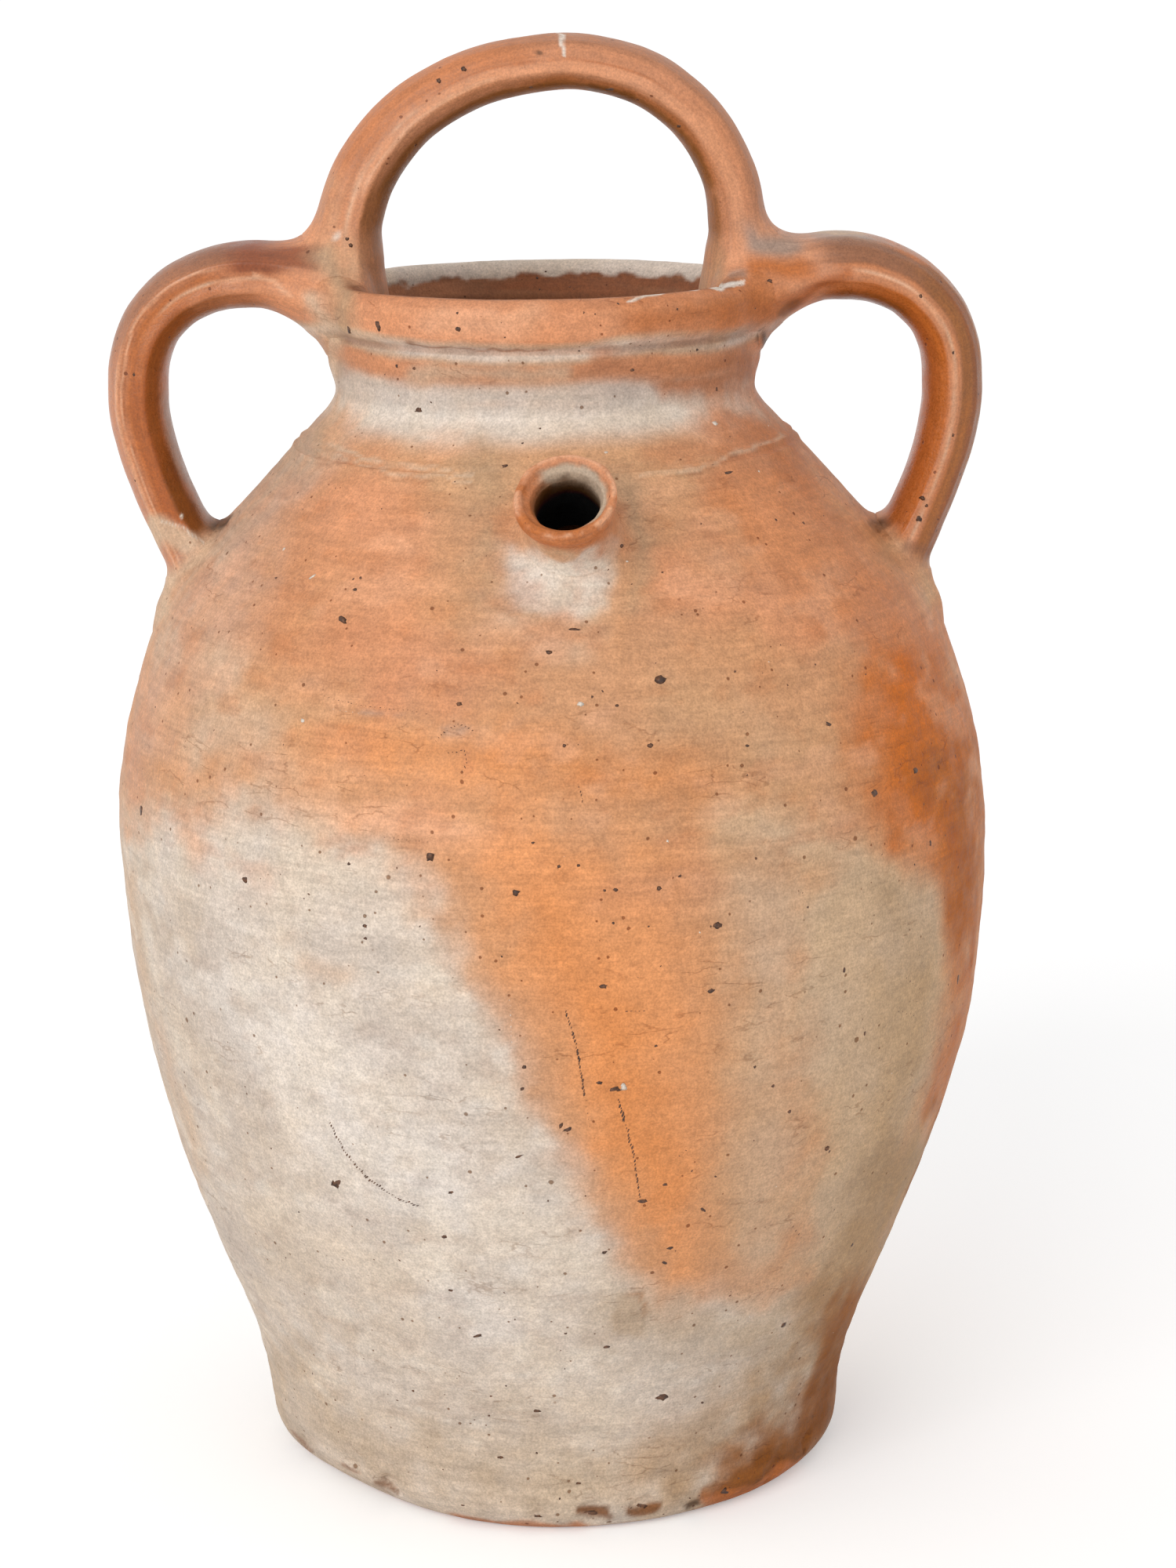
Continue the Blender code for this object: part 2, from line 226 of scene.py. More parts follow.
@dataclass(frozen=True)
class Lean:
    """How the whole pot bends to its left."""

    at_mouth: float = 0.0028
    mouth_height: float = 0.375

    def bend(self, points: Array) -> Array:
        """Move points of the upright pot to where they are on the leaning one."""
        up_share = points[:, 2] / self.mouth_height
        slope = 2.0 * self.at_mouth * up_share / self.mouth_height
        x = points[:, 0] * np.cos(slope) - self.at_mouth * up_share * up_share
        return np.stack([x, points[:, 1], points[:, 2] + points[:, 0] * np.sin(slope)], axis=1)

    def straighten(self, points: Array) -> Array:
        """Move points of the leaning pot to where they are on the upright one."""
        upright = points.copy()
        for _ in range(4):
            upright += points - self.bend(upright)
        return upright


@dataclass(frozen=True)
class PhotoView:
    """The photograph's camera, and the way between its pixels and space."""

    eye: tuple[float, float, float] = (0.01088, -1.14292, 0.48621)
    pitch_down_degrees: float = 13.338
    lens_mm: float = 85.0
    sensor_mm: float = 36.0
    frame_px: Pixel = (1500.0, 2000.0)

    def _axes(self) -> tuple[Array, Array, Array, float]:
        """The directions right, forward and up, and the focal length in pixels."""
        pitch = math.radians(self.pitch_down_degrees)
        forward = np.array([0.0, math.cos(pitch), -math.sin(pitch)])
        up = np.array([0.0, math.sin(pitch), math.cos(pitch)])
        return np.array([1.0, 0.0, 0.0]), forward, up, self.lens_mm / self.sensor_mm * self.frame_px[1]

    def pixels(self, points: Array) -> Array:
        """Where points in space appear in the photograph, in pixels."""
        right, forward, up, focal = self._axes()
        offset = points - np.array(self.eye)
        depth = offset @ forward
        u = self.frame_px[0] / 2.0 + focal * (offset @ right) / depth
        v = self.frame_px[1] / 2.0 - focal * (offset @ up) / depth
        return np.stack([u, v], axis=1)

    def ray(self, place_px: Pixel) -> Vector:
        """The direction in which a pixel looks."""
        right, forward, up, focal = self._axes()
        across = place_px[0] - self.frame_px[0] / 2.0
        rise = self.frame_px[1] / 2.0 - place_px[1]
        return Vector(forward * focal + right * across + up * rise).normalized()

    def add_camera(self) -> None:
        """Set up the scene's camera."""
        data = bpy.data.cameras.new("photo_camera")
        data.lens = self.lens_mm
        data.sensor_fit = "VERTICAL"
        data.sensor_height = self.sensor_mm
        data.sensor_width = self.sensor_mm
        camera = bpy.data.objects.new("photo_camera", data)
        camera.location = self.eye
        camera.rotation_euler = (math.radians(90.0 - self.pitch_down_degrees), 0.0, 0.0)
        bpy.context.scene.collection.objects.link(camera)
        bpy.context.scene.camera = camera


class FieldTable:
    """Values on a regular grid in a plane, read with linear blending."""

    def __init__(self, low: Pixel, high: Pixel, step: float, measure: Measure) -> None:
        """Fill the grid.

        Args:
            low: The grid's lowest corner.
            high: Its highest corner.
            step: The distance between its places.
            measure: Gives one or more values for each place.
        """
        self.low, self.step = low, step
        axes = [np.arange(start, end + step, step) for start, end in zip(low, high)]
        columns = measure(np.stack(np.meshgrid(*axes, indexing="ij"), axis=-1).reshape(-1, 2))
        self.values = np.stack([column.reshape([len(axis) for axis in axes]) for column in columns], axis=-1)

    def at(self, first: Array, second: Array) -> Array:
        """Read the values at places in the plane, one row per place."""
        rows_count, columns = self.values.shape[:2]
        i = np.clip((first - self.low[0]) / self.step, 0.0, rows_count - 1.001)
        j = np.clip((second - self.low[1]) / self.step, 0.0, columns - 1.001)
        i0, j0 = i.astype(int), j.astype(int)
        a, b = (i - i0)[:, None], (j - j0)[:, None]
        v = self.values
        near = v[i0, j0] * (1.0 - b) + v[i0, j0 + 1] * b
        far = v[i0 + 1, j0] * (1.0 - b) + v[i0 + 1, j0 + 1] * b
        return near * (1.0 - a) + far * a


class ClaySkin:
    """A closed mesh of clay, with its colours and its brushing direction."""

    def __init__(self, name: str, rings: Array, ends: Ends) -> None:
        """Build the mesh.

        Args:
            name: The object's name.
            rings: Points, as rings by columns by 3.
            ends: How the first and last rings are closed.
        """
        count, columns = rings.shape[:2]
        points = rings.reshape(-1, 3)
        i, j = np.meshgrid(np.arange(count), np.arange(columns), indexing="ij")
        if ends is Ends.FANS:
            i, j = i[:-1], j[:-1]
        after = (i + 1) % count
        beside = (j + 1) % columns
        corners = (i * columns + j, i * columns + beside, after * columns + beside, after * columns + j)
        faces = np.stack(corners, axis=-1).reshape(-1, 4).tolist()
        if ends is Ends.FANS:
            points = np.concatenate([points, rings[:1].mean(axis=1), rings[-1:].mean(axis=1)])
            last = (count - 1) * columns
            for k in range(columns):
                beside_k = (k + 1) % columns
                faces.append((count * columns, beside_k, k))
                faces.append((count * columns + 1, last + k, last + beside_k))
        if self._volume(rings, ends) < 0.0:
            faces = [tuple(reversed(face)) for face in faces]
        mesh = bpy.data.meshes.new(name)
        mesh.from_pydata(points.tolist(), [], faces)
        self.object = bpy.data.objects.new(name, mesh)
        bpy.context.scene.collection.objects.link(self.object)

    @staticmethod
    def _volume(rings: Array, ends: Ends) -> float:
        """Signed volume within the rings; it is negative where the faces look inwards."""
        if ends is Ends.FANS:
            caps = [ring.mean(axis=1, keepdims=True) for ring in (rings[:1], rings[-1:])]
            first, last = (np.broadcast_to(cap, rings[:1].shape) for cap in caps)
            rings = np.concatenate([first, rings, last])
        beside, ahead = np.roll(rings, -1, axis=1), np.roll(rings, -1, axis=0)
        across = np.roll(beside, -1, axis=0)
        pairs = ((beside, across), (across, ahead))
        total = sum(np.einsum("ijk,ijk->ij", rings, np.cross(*pair)) for pair in pairs)
        return float(total.sum() if ends is Ends.LOOP else total[:-1].sum())

    def _read(self, kind: str) -> Array:
        """The vertices' places, "co", or outward directions, "normal", one per row."""
        flat = np.empty(len(self.object.data.vertices) * 3, dtype=np.float32)
        self.object.data.vertices.foreach_get(kind, flat)
        return flat.reshape(-1, 3).astype(float)

    @property
    def points(self) -> Array:
        """The vertices, one per row."""
        return self._read("co")

    @points.setter
    def points(self, points: Array) -> None:
        """Move the vertices."""
        self.object.data.vertices.foreach_set("co", points.astype(np.float32).ravel())
        self.object.data.update()

    @property
    def normals(self) -> Array:
        """The outward directions at the vertices."""
        return self._read("normal")

    def soft_normals(self, rounds: int) -> Array:
        """The outward directions, evened out with the neighbours' a number of times."""
        mesh = self.object.data
        ends = np.empty(len(mesh.edges) * 2, dtype=np.int32)
        mesh.edges.foreach_get("vertices", ends)
        first, second = ends.reshape(-1, 2).T
        normals = self.normals
        for _ in range(rounds):
            total = normals.copy()
            for axis in range(3):
                total[:, axis] += np.bincount(first, normals[second, axis], len(normals))
                total[:, axis] += np.bincount(second, normals[first, axis], len(normals))
            normals = total / np.linalg.norm(total, axis=1, keepdims=True)
        return normals

    def raise_by(self, heights: Array) -> None:
        """Move each vertex outwards by its height."""
        self.points = self.points + self.normals * heights[:, None]

    def paint(self, colours: Array, gloss: Array, way: Array) -> None:
        """Store the fired colour with its gloss, and the coordinates that brushing runs along.

        Args:
            colours: Linear colours, one per vertex.
            gloss: Shares from 0 for matte to 1 for glossy.
            way: Coordinates in metres, squeezed along the brushing.
        """
        for name, kind, key, values in (
            (COLOUR_ATTRIBUTE, "FLOAT_COLOR", "color", np.column_stack([colours, gloss])),
            (GRAIN_ATTRIBUTE, "FLOAT_VECTOR", "vector", way),
        ):
            stored = self.object.data.attributes.new(name, kind, "POINT")
            stored.data.foreach_set(key, values.astype(np.float32).ravel())

    def finish(self, material: bpy.types.Material, replaced: Piece, slot: str) -> None:
        """Shade the skin and hand it to the frame.

        Args:
            material: Its finish.
            replaced: The CAD piece that it stands for.
            slot: A material slot name; it is not used.
        """
        self.object.data.shade_smooth()
        self.object.data.set_sharp_from_angle(angle=math.radians(60.0))
        self.object.data.materials.append(material)
        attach(self.object, "root")
        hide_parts(replaced.value)
        LOG.info("%s: %d vertices", self.object.name, len(self.object.data.vertices))


@dataclass(frozen=True)
class Luted:
    """A piece's plain form, and the fillet that joins it to the forms before it."""

    distance: Distance
    fillet: Distance | None = None


@dataclass(frozen=True)
class SlipJoints:
    """Draws the skins of luted pieces together to the same fillets."""

    dive_share: float = 0.5
    rise_share: float = 1.25
    hidden_rise_share: float = 0.35
    hidden_depth_share: float = 1.5
    least_facing: float = 0.4
    tries: int = 14

    def settle(
        self, skin: ClaySkin, forms: Sequence[Luted], own: int, wanted: Array | None = None, rounds: int = 30
    ) -> None:
        """Move a skin's vertices near its joints out to the fillets.

        Args:
            skin: The skin that is moved.
            forms: All forms of the joint, always in the same order.
            own: Which of them the skin is.
            wanted: Which vertices take part; all of them if it is left out.
            rounds: How often the directions are evened out before the move.
        """
        points, normals = skin.points, skin.soft_normals(rounds)
        facing = np.clip(np.einsum("ij,ij->i", normals, skin.normals), self.least_facing, 1.0)
        others = [number for number in range(len(forms)) if number != own]
        gaps = np.stack([forms[number].distance(points) for number in others])
        blends = np.stack([forms[max(number, own)].fillet(points) for number in others])
        near = (gaps < blends).any(axis=0)
        if wanted is not None:
            near &= wanted
        base, outwards = points[near], normals[near]
        nearest = np.argmin(gaps[:, near], axis=0)
        gap = gaps[:, near].min(axis=0)
        blend = np.take_along_axis(blends[:, near], nearest[None], axis=0)[0]
        hidden = self.hidden_rise_share * np.clip(1.0 + gap / (self.hidden_depth_share * blend), 0.0, 1.0)
        high = blend * np.where(gap < 0.0, hidden, self.rise_share)
        low = np.zeros(len(base))
        for _ in range(self.tries):
            middle = (low + high) / 2.0
            moved = base + outwards * middle[:, None]
            levels = [None if k == own else form.distance(moved) for k, form in enumerate(forms)]
            levels[own] = middle * facing[near]
            joined = levels[0]
            for level, form in zip(levels[1:], forms[1:]):
                joined = smooth_least(joined, level, form.fillet(moved))
            least = np.min([levels[number] for number in others], axis=0)
            outside = joined + self.dive_share * np.maximum(middle - least, 0.0) > 0.0
            high = np.where(outside, middle, high)
            low = np.where(outside, low, middle)
        points[near] = base + outwards * low[:, None]
        skin.points = points
        LOG.info("%s: %d vertices drawn to the slip", skin.object.name, int(near.sum()))


@dataclass(frozen=True)
class WallSection:
    """The thrown wall's section, the same as the CAD body's."""

    foot_height: float = 0.012
    lower_wall_height: float = 0.185
    shoulder_height: float = 0.143
    neck_height: float = 0.035
    foot_radius: float = 0.0923
    belly_radius: float = 0.1365
    neck_radius: float = 0.0642
    heel_rounding: float = 0.0085
    wall: float = 0.008
    neck_wall: float = 0.0085
    floor: float = 0.012
    floor_corner: float = 0.016
    rim_projection: float = 0.0038
    rim_band_height: float = 0.0135
    rim_band_slope: float = 0.0012
    lip_rounding: float = 0.0048
    groove_height: float = 0.0030
    groove_depth: float = 0.0012
    shoulder_shares: tuple[Pixel, ...] = (
        (0.0, 0.0), (0.055, 0.095), (0.12, 0.22), (0.31, 0.56),
        (0.44, 0.755), (0.60, 0.885), (0.80, 0.98), (1.0, 1.0),
    )
    lower_wall_shares: tuple[Pixel, ...] = (
        (0.75, 0.91), (0.54, 0.705), (0.34, 0.415), (0.22, 0.215), (0.14, 0.10), (0.07, 0.035), (0.0, 0.0),
    )
    steps: int = 16
    neck_softening: int = 22
    fine_above_height: float = 0.298
    fine_below_height: float = 0.046
    centre_radius: float = 0.003

    @property
    def belly_height(self) -> float:
        """Height of the widest place."""
        return self.foot_height + self.lower_wall_height

    @property
    def neck_base_height(self) -> float:
        """Height of the root of the neck."""
        return self.belly_height + self.shoulder_height

    @property
    def mouth_height(self) -> float:
        """Height of the rim."""
        return self.neck_base_height + self.neck_height

    @property
    def crest_radius(self) -> float:
        """Radius of the top of the lip."""
        return self.neck_radius + self.rim_projection - self.lip_rounding

    def outer_wall(self) -> Array:
        """The outer wall from the root of the neck down to the heel, as (radius, height)."""
        knots = []
        for down, out in self.shoulder_shares:
            radius = self.neck_radius + out * (self.belly_radius - self.neck_radius)
            knots.append(Vector((radius, self.neck_base_height - down * self.shoulder_height)))
        for up, out in self.lower_wall_shares:
            radius = self.foot_radius + out * (self.belly_radius - self.foot_radius)
            knots.append(Vector((radius, self.foot_height + up * self.lower_wall_height)))
        line = []
        for i in range(len(knots) - 1):
            here, there = knots[i], knots[i + 1]
            before = knots[i - 1] if i > 0 else here
            after = knots[i + 2] if i + 2 < len(knots) else there
            third = (there - here).length / 3.0
            leave = here + (there - before).normalized() * third
            arrive = there - (after - here).normalized() * third
            line.extend(interpolate_bezier(here, leave, arrive, there, self.steps + 1)[:-1])
        line.append(knots[-1])
        return np.array([(p.x, p.y) for p in line])

    def place(self, down_share: float) -> tuple[float, float]:
        """Radius and height of the outer wall at a share of the way down the shoulder."""
        height = self.neck_base_height - down_share * self.shoulder_height
        line = self.outer_wall()[::-1]
        return float(np.interp(height, line[:, 1], line[:, 0])), height

    @staticmethod
    def arc(centre: Pixel, radii: Pixel, start: float, end: float, steps: int = 24) -> Array:
        """Points (radius, height) on a part of an ellipse between two angles in degrees."""
        angle = np.radians(np.linspace(start, end, steps + 1))
        return np.stack([centre[0] + radii[0] * np.cos(angle), centre[1] + radii[1] * np.sin(angle)], axis=1)

    @staticmethod
    def softened(line: Array, times: int) -> Array:
        """Round a line's corners by averaging neighbours a number of times, with its ends kept."""
        for _ in range(times):
            line = line.copy()
            line[1:-1] = (line[:-2] + 2.0 * line[1:-1] + line[2:]) / 4.0
        return line

    def stretches(self) -> list[tuple[Array, float]]:
        """The whole section, from the centre of the floor over the lip to the centre underneath.

        Returns:
            Its stretches in order, each with the spacing that its points need.
        """
        outer = self.outer_wall()
        run = np.gradient(outer, axis=0)
        run /= np.linalg.norm(run, axis=1, keepdims=True)
        inner = (outer + np.stack([run[:, 1], -run[:, 0]], axis=1) * self.wall)[::-1]
        throat = self.neck_radius - self.neck_wall
        corner_height = self.floor + self.floor_corner
        inner = inner[(inner[:, 1] > corner_height) & (inner[:, 0] > throat)]
        flat = float(inner[0, 0]) - self.floor_corner
        band_foot = self.mouth_height - self.rim_band_height
        groove_foot = band_foot - self.groove_height
        lip_centre = (self.crest_radius, self.mouth_height - self.lip_rounding)
        round_lip = self.arc(lip_centre, (self.lip_rounding, self.lip_rounding), 180.0, 0.0)
        rim_radius = self.crest_radius + self.lip_rounding
        heel_flat = self.foot_radius - self.heel_rounding
        corner = self.arc((flat, corner_height), (self.floor_corner, self.floor_corner), -90.0, 0.0)
        heel = self.arc((heel_flat, self.foot_height), (self.heel_rounding, self.foot_height), 0.0, -90.0)
        bite = np.linspace(0.0, math.pi, 9)
        done = bite / math.pi
        groove = np.stack([
            self.neck_radius - self.groove_depth * np.sin(bite) + (1.0 - done) * self.rim_band_slope,
            band_foot - done * self.groove_height,
        ], axis=1)
        height = outer[:, 1]
        upper = outer[height > self.fine_above_height]
        belly = outer[(height <= self.fine_above_height) & (height > self.fine_below_height)]
        foot = outer[height <= self.fine_below_height]
        neck = np.concatenate([[(self.neck_radius, groove_foot)], upper])
        neck = self.softened(resampled(neck, 0.0010), self.neck_softening)
        return [
            (np.array([(self.centre_radius, self.floor), (flat, self.floor)]), 0.006),
            (corner, 0.003),
            (np.concatenate([inner, [(throat, self.neck_base_height)]]), 0.004),
            (np.array([(throat, self.neck_base_height), (throat, band_foot + 0.003)]), 0.0011),
            (np.array([(throat, band_foot + 0.003), round_lip[0]]), 0.0008),
            (round_lip, 0.0006),
            (np.array([round_lip[-1], (rim_radius - self.rim_band_slope, band_foot + 0.0008)]), 0.0007),
            (groove, 0.0004),
            (neck, 0.0010),
            (belly, 0.0015),
            (foot, 0.0008),
            (heel, 0.0008),
            (np.array([(heel_flat, 0.0), (self.centre_radius, 0.0)]), 0.008),
        ]

    def line(self) -> Array:
        """The section as one line of points (radius, height)."""
        parts = [resampled(part, spacing)[:-1] for part, spacing in self.stretches()]
        return np.concatenate(parts + [[(self.centre_radius, 0.0)]])


@dataclass(frozen=True)
class Chip:
    """A place where clay has broken or worn away, by its pixel and sized in tenths of a millimetre."""

    x_px: int
    y_px: int
    reach: int
    depth: int


@dataclass
class ThrownJar:
    """The jar: its wall with rings, wobble, worn heel and chips."""

    section: WallSection = field(default_factory=WallSection)
    columns: int = 512
    side_swell: float = 0.0015
    side_swell_height: float = 0.150
    side_swell_reach: float = 0.055
    heel_wear: float = 0.0075
    heel_wear_height: float = 0.024
    heel_wear_turn_degrees: float = -48.0
    heel_wear_reach_degrees: float = 26.0
    pad_rise: float = 0.0026
    pad_drop_share: float = 0.43
    pad_height: float = 0.012
    pad_width: float = 0.017
    ring_height: float = 0.00016
    foot_ring_height: float = 0.00034
    fine_ring_cell: tuple[float, float, float] = (0.16, 0.16, 0.0042)
    broad_ring_cell: tuple[float, float, float] = (0.22, 0.22, 0.0110)
    broad_ring_share: float = 1.2
    ridge_px: tuple[Pixel, ...] = ((500.0, 591.0), (500.0, 602.0))
    ridge_rise: float = 0.0008
    ridge_reach: float = 0.0007
    ridge_groove_share: float = 0.8
    ridge_groove_reach: float = 0.0010
    belly_line_height: float = 0.2655
    belly_line_depth: float = 0.00022
    belly_line_reach: float = 0.0007
    belly_line_wander: float = 0.0015
    chip_raggedness: float = 0.35
    chip_grain: float = 0.0030
    chips: tuple[Chip, ...] = rows(
        Chip,
        (384, 1847, 50, 16), (365, 1826, 35, 10), (447, 1872, 40, 13), (492, 1898, 48, 26),
        (688, 1934, 30, 9), (756, 1930, 52, 14), (818, 1921, 44, 16), (884, 1922, 26, 12),
        (922, 1903, 40, 13), (985, 1875, 46, 12), (1028, 1838, 40, 12), (563, 1911, 26, 6),
        (712, 1437, 16, 6), (433, 1508, 18, 7), (781, 1391, 22, 6), (797, 1388, 18, 6),
        (866, 1118, 16, 5), (314, 1122, 16, 5), (930, 365, 45, 8), (1056, 1467, 14, 5),
    )
    table_low: Pixel = (0.040, 0.235)
    table_high: Pixel = (0.160, 0.395)
    table_step: float = 0.0005
    table_margin: float = 0.02
    skin: ClaySkin | None = None

    def rings(self) -> Array:
        """The upright wall, as rings by columns by 3."""
        line = self.section.line()
        angle = np.linspace(0.0, FULL_TURN, self.columns, endpoint=False)
        radius, height = line[:, 0][:, None], line[:, 1][:, None]
        turn = np.abs((angle + math.pi) % FULL_TURN - math.pi - math.radians(self.heel_wear_turn_degrees))
        turn = np.minimum(turn, FULL_TURN - turn)
        worn = self.heel_wear * bell(turn, 0.0, math.radians(self.heel_wear_reach_degrees))
        outside = height < self.section.floor
        low = np.clip(1.0 - height / self.heel_wear_height, 0.0, 1.0)
        low = np.where(outside | (radius > self.section.foot_radius - self.section.wall / 2.0), low, 0.0)
        radius = radius - worn * low * low * np.clip(radius / self.section.foot_radius, 0.0, 1.0)
        swell = self.side_swell * bell(height, self.side_swell_height, self.side_swell_reach)
        x = radius * np.sin(angle) + swell
        y = -radius * np.cos(angle)
        return np.stack([x, y, np.broadcast_to(height, x.shape)], axis=-1)

    def pad(self, points: Array) -> Array:
        """How far the clay pads stand out of the shoulder under the ears' landings."""
        down = self.pad_drop_share
        radius, height = self.section.place(down)
        rise, aside = (points[:, 2] - height) / self.pad_height, points[:, 1] / self.pad_width
        reach = np.sqrt(rise**2 + aside**2)
        out = np.hypot(points[:, 0], points[:, 1]) > radius - 2.0 * self.section.wall
        return self.pad_rise * eased(reach, 1.25, 0.2) * out

    @cached_property
    def _table(self) -> FieldTable:
        """Distances to the wall's section near the neck and shoulder, by radius and height."""
        line = self.section.line()
        line = line[line[:, 1] > self.table_low[1] - self.table_margin]

        def measure(places: Array) -> list[Array]:
            """Signed distances from places in the section's plane."""
            least, _ = nearest_on_line(line, places, closed=True)
            return [np.where(within_outline(line, places), -least, least)]

        return FieldTable(self.table_low, self.table_high, self.table_step, measure)

    def distance(self, points: Array) -> Array:
        """Signed distance from points near the neck and shoulder to the wall."""
        radius = np.hypot(points[:, 0], points[:, 1])
        return self._table.at(radius, points[:, 2])[:, 0] - self.pad(points)

    def inside(self, points: Array) -> Array:
        """Tell which points of the upright wall belong to its inner face, from 0 to 1."""
        section, height = self.section, points[:, 2]
        line = section.outer_wall()[::-1]
        outer = np.interp(height, line[:, 1], line[:, 0])
        middle = np.where(height > section.neck_base_height, section.crest_radius, outer - section.wall)
        middle = np.where(height < section.floor / 2.0, -1.0, middle)
        radius = np.hypot(points[:, 0], points[:, 1])
        return eased(radius - middle, 0.0022, -0.0012)

    def build(self) -> None:
        """Throw the upright wall, with its pads."""
        self.skin = ClaySkin("thrown_jar", self.rings(), Ends.FANS)
        points = self.skin.points
        self.skin.raise_by(self.pad(points) * (1.0 - self.inside(points)))

    def relief(self, points: Array, noise: ClayNoise, ridge_heights: Sequence[float]) -> Array:
        """Heights of the throwing rings and ridges over the plain wall.

        Args:
            points: The upright skin's vertices.
            noise: The field that makes them uneven.
            ridge_heights: Where the ridges run round the shoulder.

        Returns:
            One height per vertex.
        """
        height = points[:, 2]
        foot = eased(height, 0.055, 0.030) * eased(height, 0.001, 0.006)
        lip = eased(height, self.section.mouth_height - 0.020, self.section.mouth_height - 0.010)
        strength = (self.ring_height + (self.foot_ring_height - self.ring_height) * foot) * (1.0 - 0.7 * lip)
        fine = noise.at(points, self.fine_ring_cell, 2)
        broad = noise.at(points + 0.31, self.broad_ring_cell)
        rings = strength * (fine + self.broad_ring_share * broad)
        fade = 0.35 + 0.65 * eased(noise.at(points + 0.7, 0.05), -0.45, 0.05)
        ridges = np.zeros(len(points))
        for ridge in ridge_heights:
            ridges += self.ridge_rise * bell(height, ridge, self.ridge_reach)
        groove = sum(ridge_heights) / len(ridge_heights)
        ridges -= self.ridge_groove_share * self.ridge_rise * bell(height, groove, self.ridge_groove_reach)
        wandering = height + self.belly_line_wander * noise.at(points, 0.06)
        belly_line = self.belly_line_depth * bell(wandering, self.belly_line_height, self.belly_line_reach)
        outside = 1.0 - self.inside(points)
        return rings + (ridges * fade - belly_line) * outside

    def chipped(self, points: Array, finder: SurfaceFinder, noise: ClayNoise) -> Array:
        """Depths of the chips, as negative heights.

        Args:
            points: The leaning skin's vertices.
            finder: Finds the place in space that a pixel shows.
            noise: The field that makes their edges uneven.

        Returns:
            One height per vertex.
        """
        depth = np.zeros(len(points))
        for chip in self.chips:
            middle, _ = finder.find((chip.x_px, chip.y_px))
            if middle is None:
                continue
            reach = chip.reach / TENTHS_PER_METRE
            near = np.linalg.norm(points - np.array(middle), axis=1)
            take = near < 2.0 * reach
            ragged = near[take] / reach + self.chip_raggedness * noise.at(points[take], self.chip_grain, 2)
            depth[take] = np.minimum(depth[take], -chip.depth / TENTHS_PER_METRE * eased(ragged, 1.15, 0.45))
        return depth

    def bore(self, spout: LutedSpout) -> None:
        """Cut the hole that the spout's bore makes in the shoulder."""
        cutter = spout.bore_cutter()
        boolean = self.skin.object.modifiers.new("spout_bore", "BOOLEAN")
        boolean.operation = "DIFFERENCE"
        boolean.solver = "MANIFOLD"
        boolean.object = cutter
        bpy.context.view_layer.update()
        depsgraph = bpy.context.evaluated_depsgraph_get()
        mesh = bpy.data.meshes.new_from_object(self.skin.object.evaluated_get(depsgraph))
        self.skin.object.modifiers.clear()
        old = self.skin.object.data
        self.skin.object.data = mesh
        bpy.data.meshes.remove(old)
        mesh.materials.clear()
        mesh.name = self.skin.object.name
        bpy.data.objects.remove(cutter, do_unlink=True)


@dataclass(frozen=True)
class Crest:
    """A ridge or hollow that pulling has left along a strap, on its front and its back."""

    angle_degrees: float
    width_degrees: float
    height_share: float


BAIL_CRESTS: tuple[Crest, ...] = rows(
    Crest, (104.0, 15.0, 0.040), (104.0, 5.0, 0.025), (80.0, 12.0, -0.030), (46.0, 6.0, 0.018)
)
LEFT_EAR_CRESTS: tuple[Crest, ...] = rows(
    Crest, (64.0, 14.0, 0.035), (64.0, 5.0, 0.030), (86.0, 10.0, -0.040), (108.0, 12.0, 0.040),
    (108.0, 5.0, 0.020),
)
RIGHT_EAR_CRESTS: tuple[Crest, ...] = rows(
    Crest, (99.0, 14.0, 0.050), (99.0, 5.0, 0.035), (78.0, 10.0, -0.035), (50.0, 5.0, 0.016),
    (28.0, 6.0, 0.016),
)


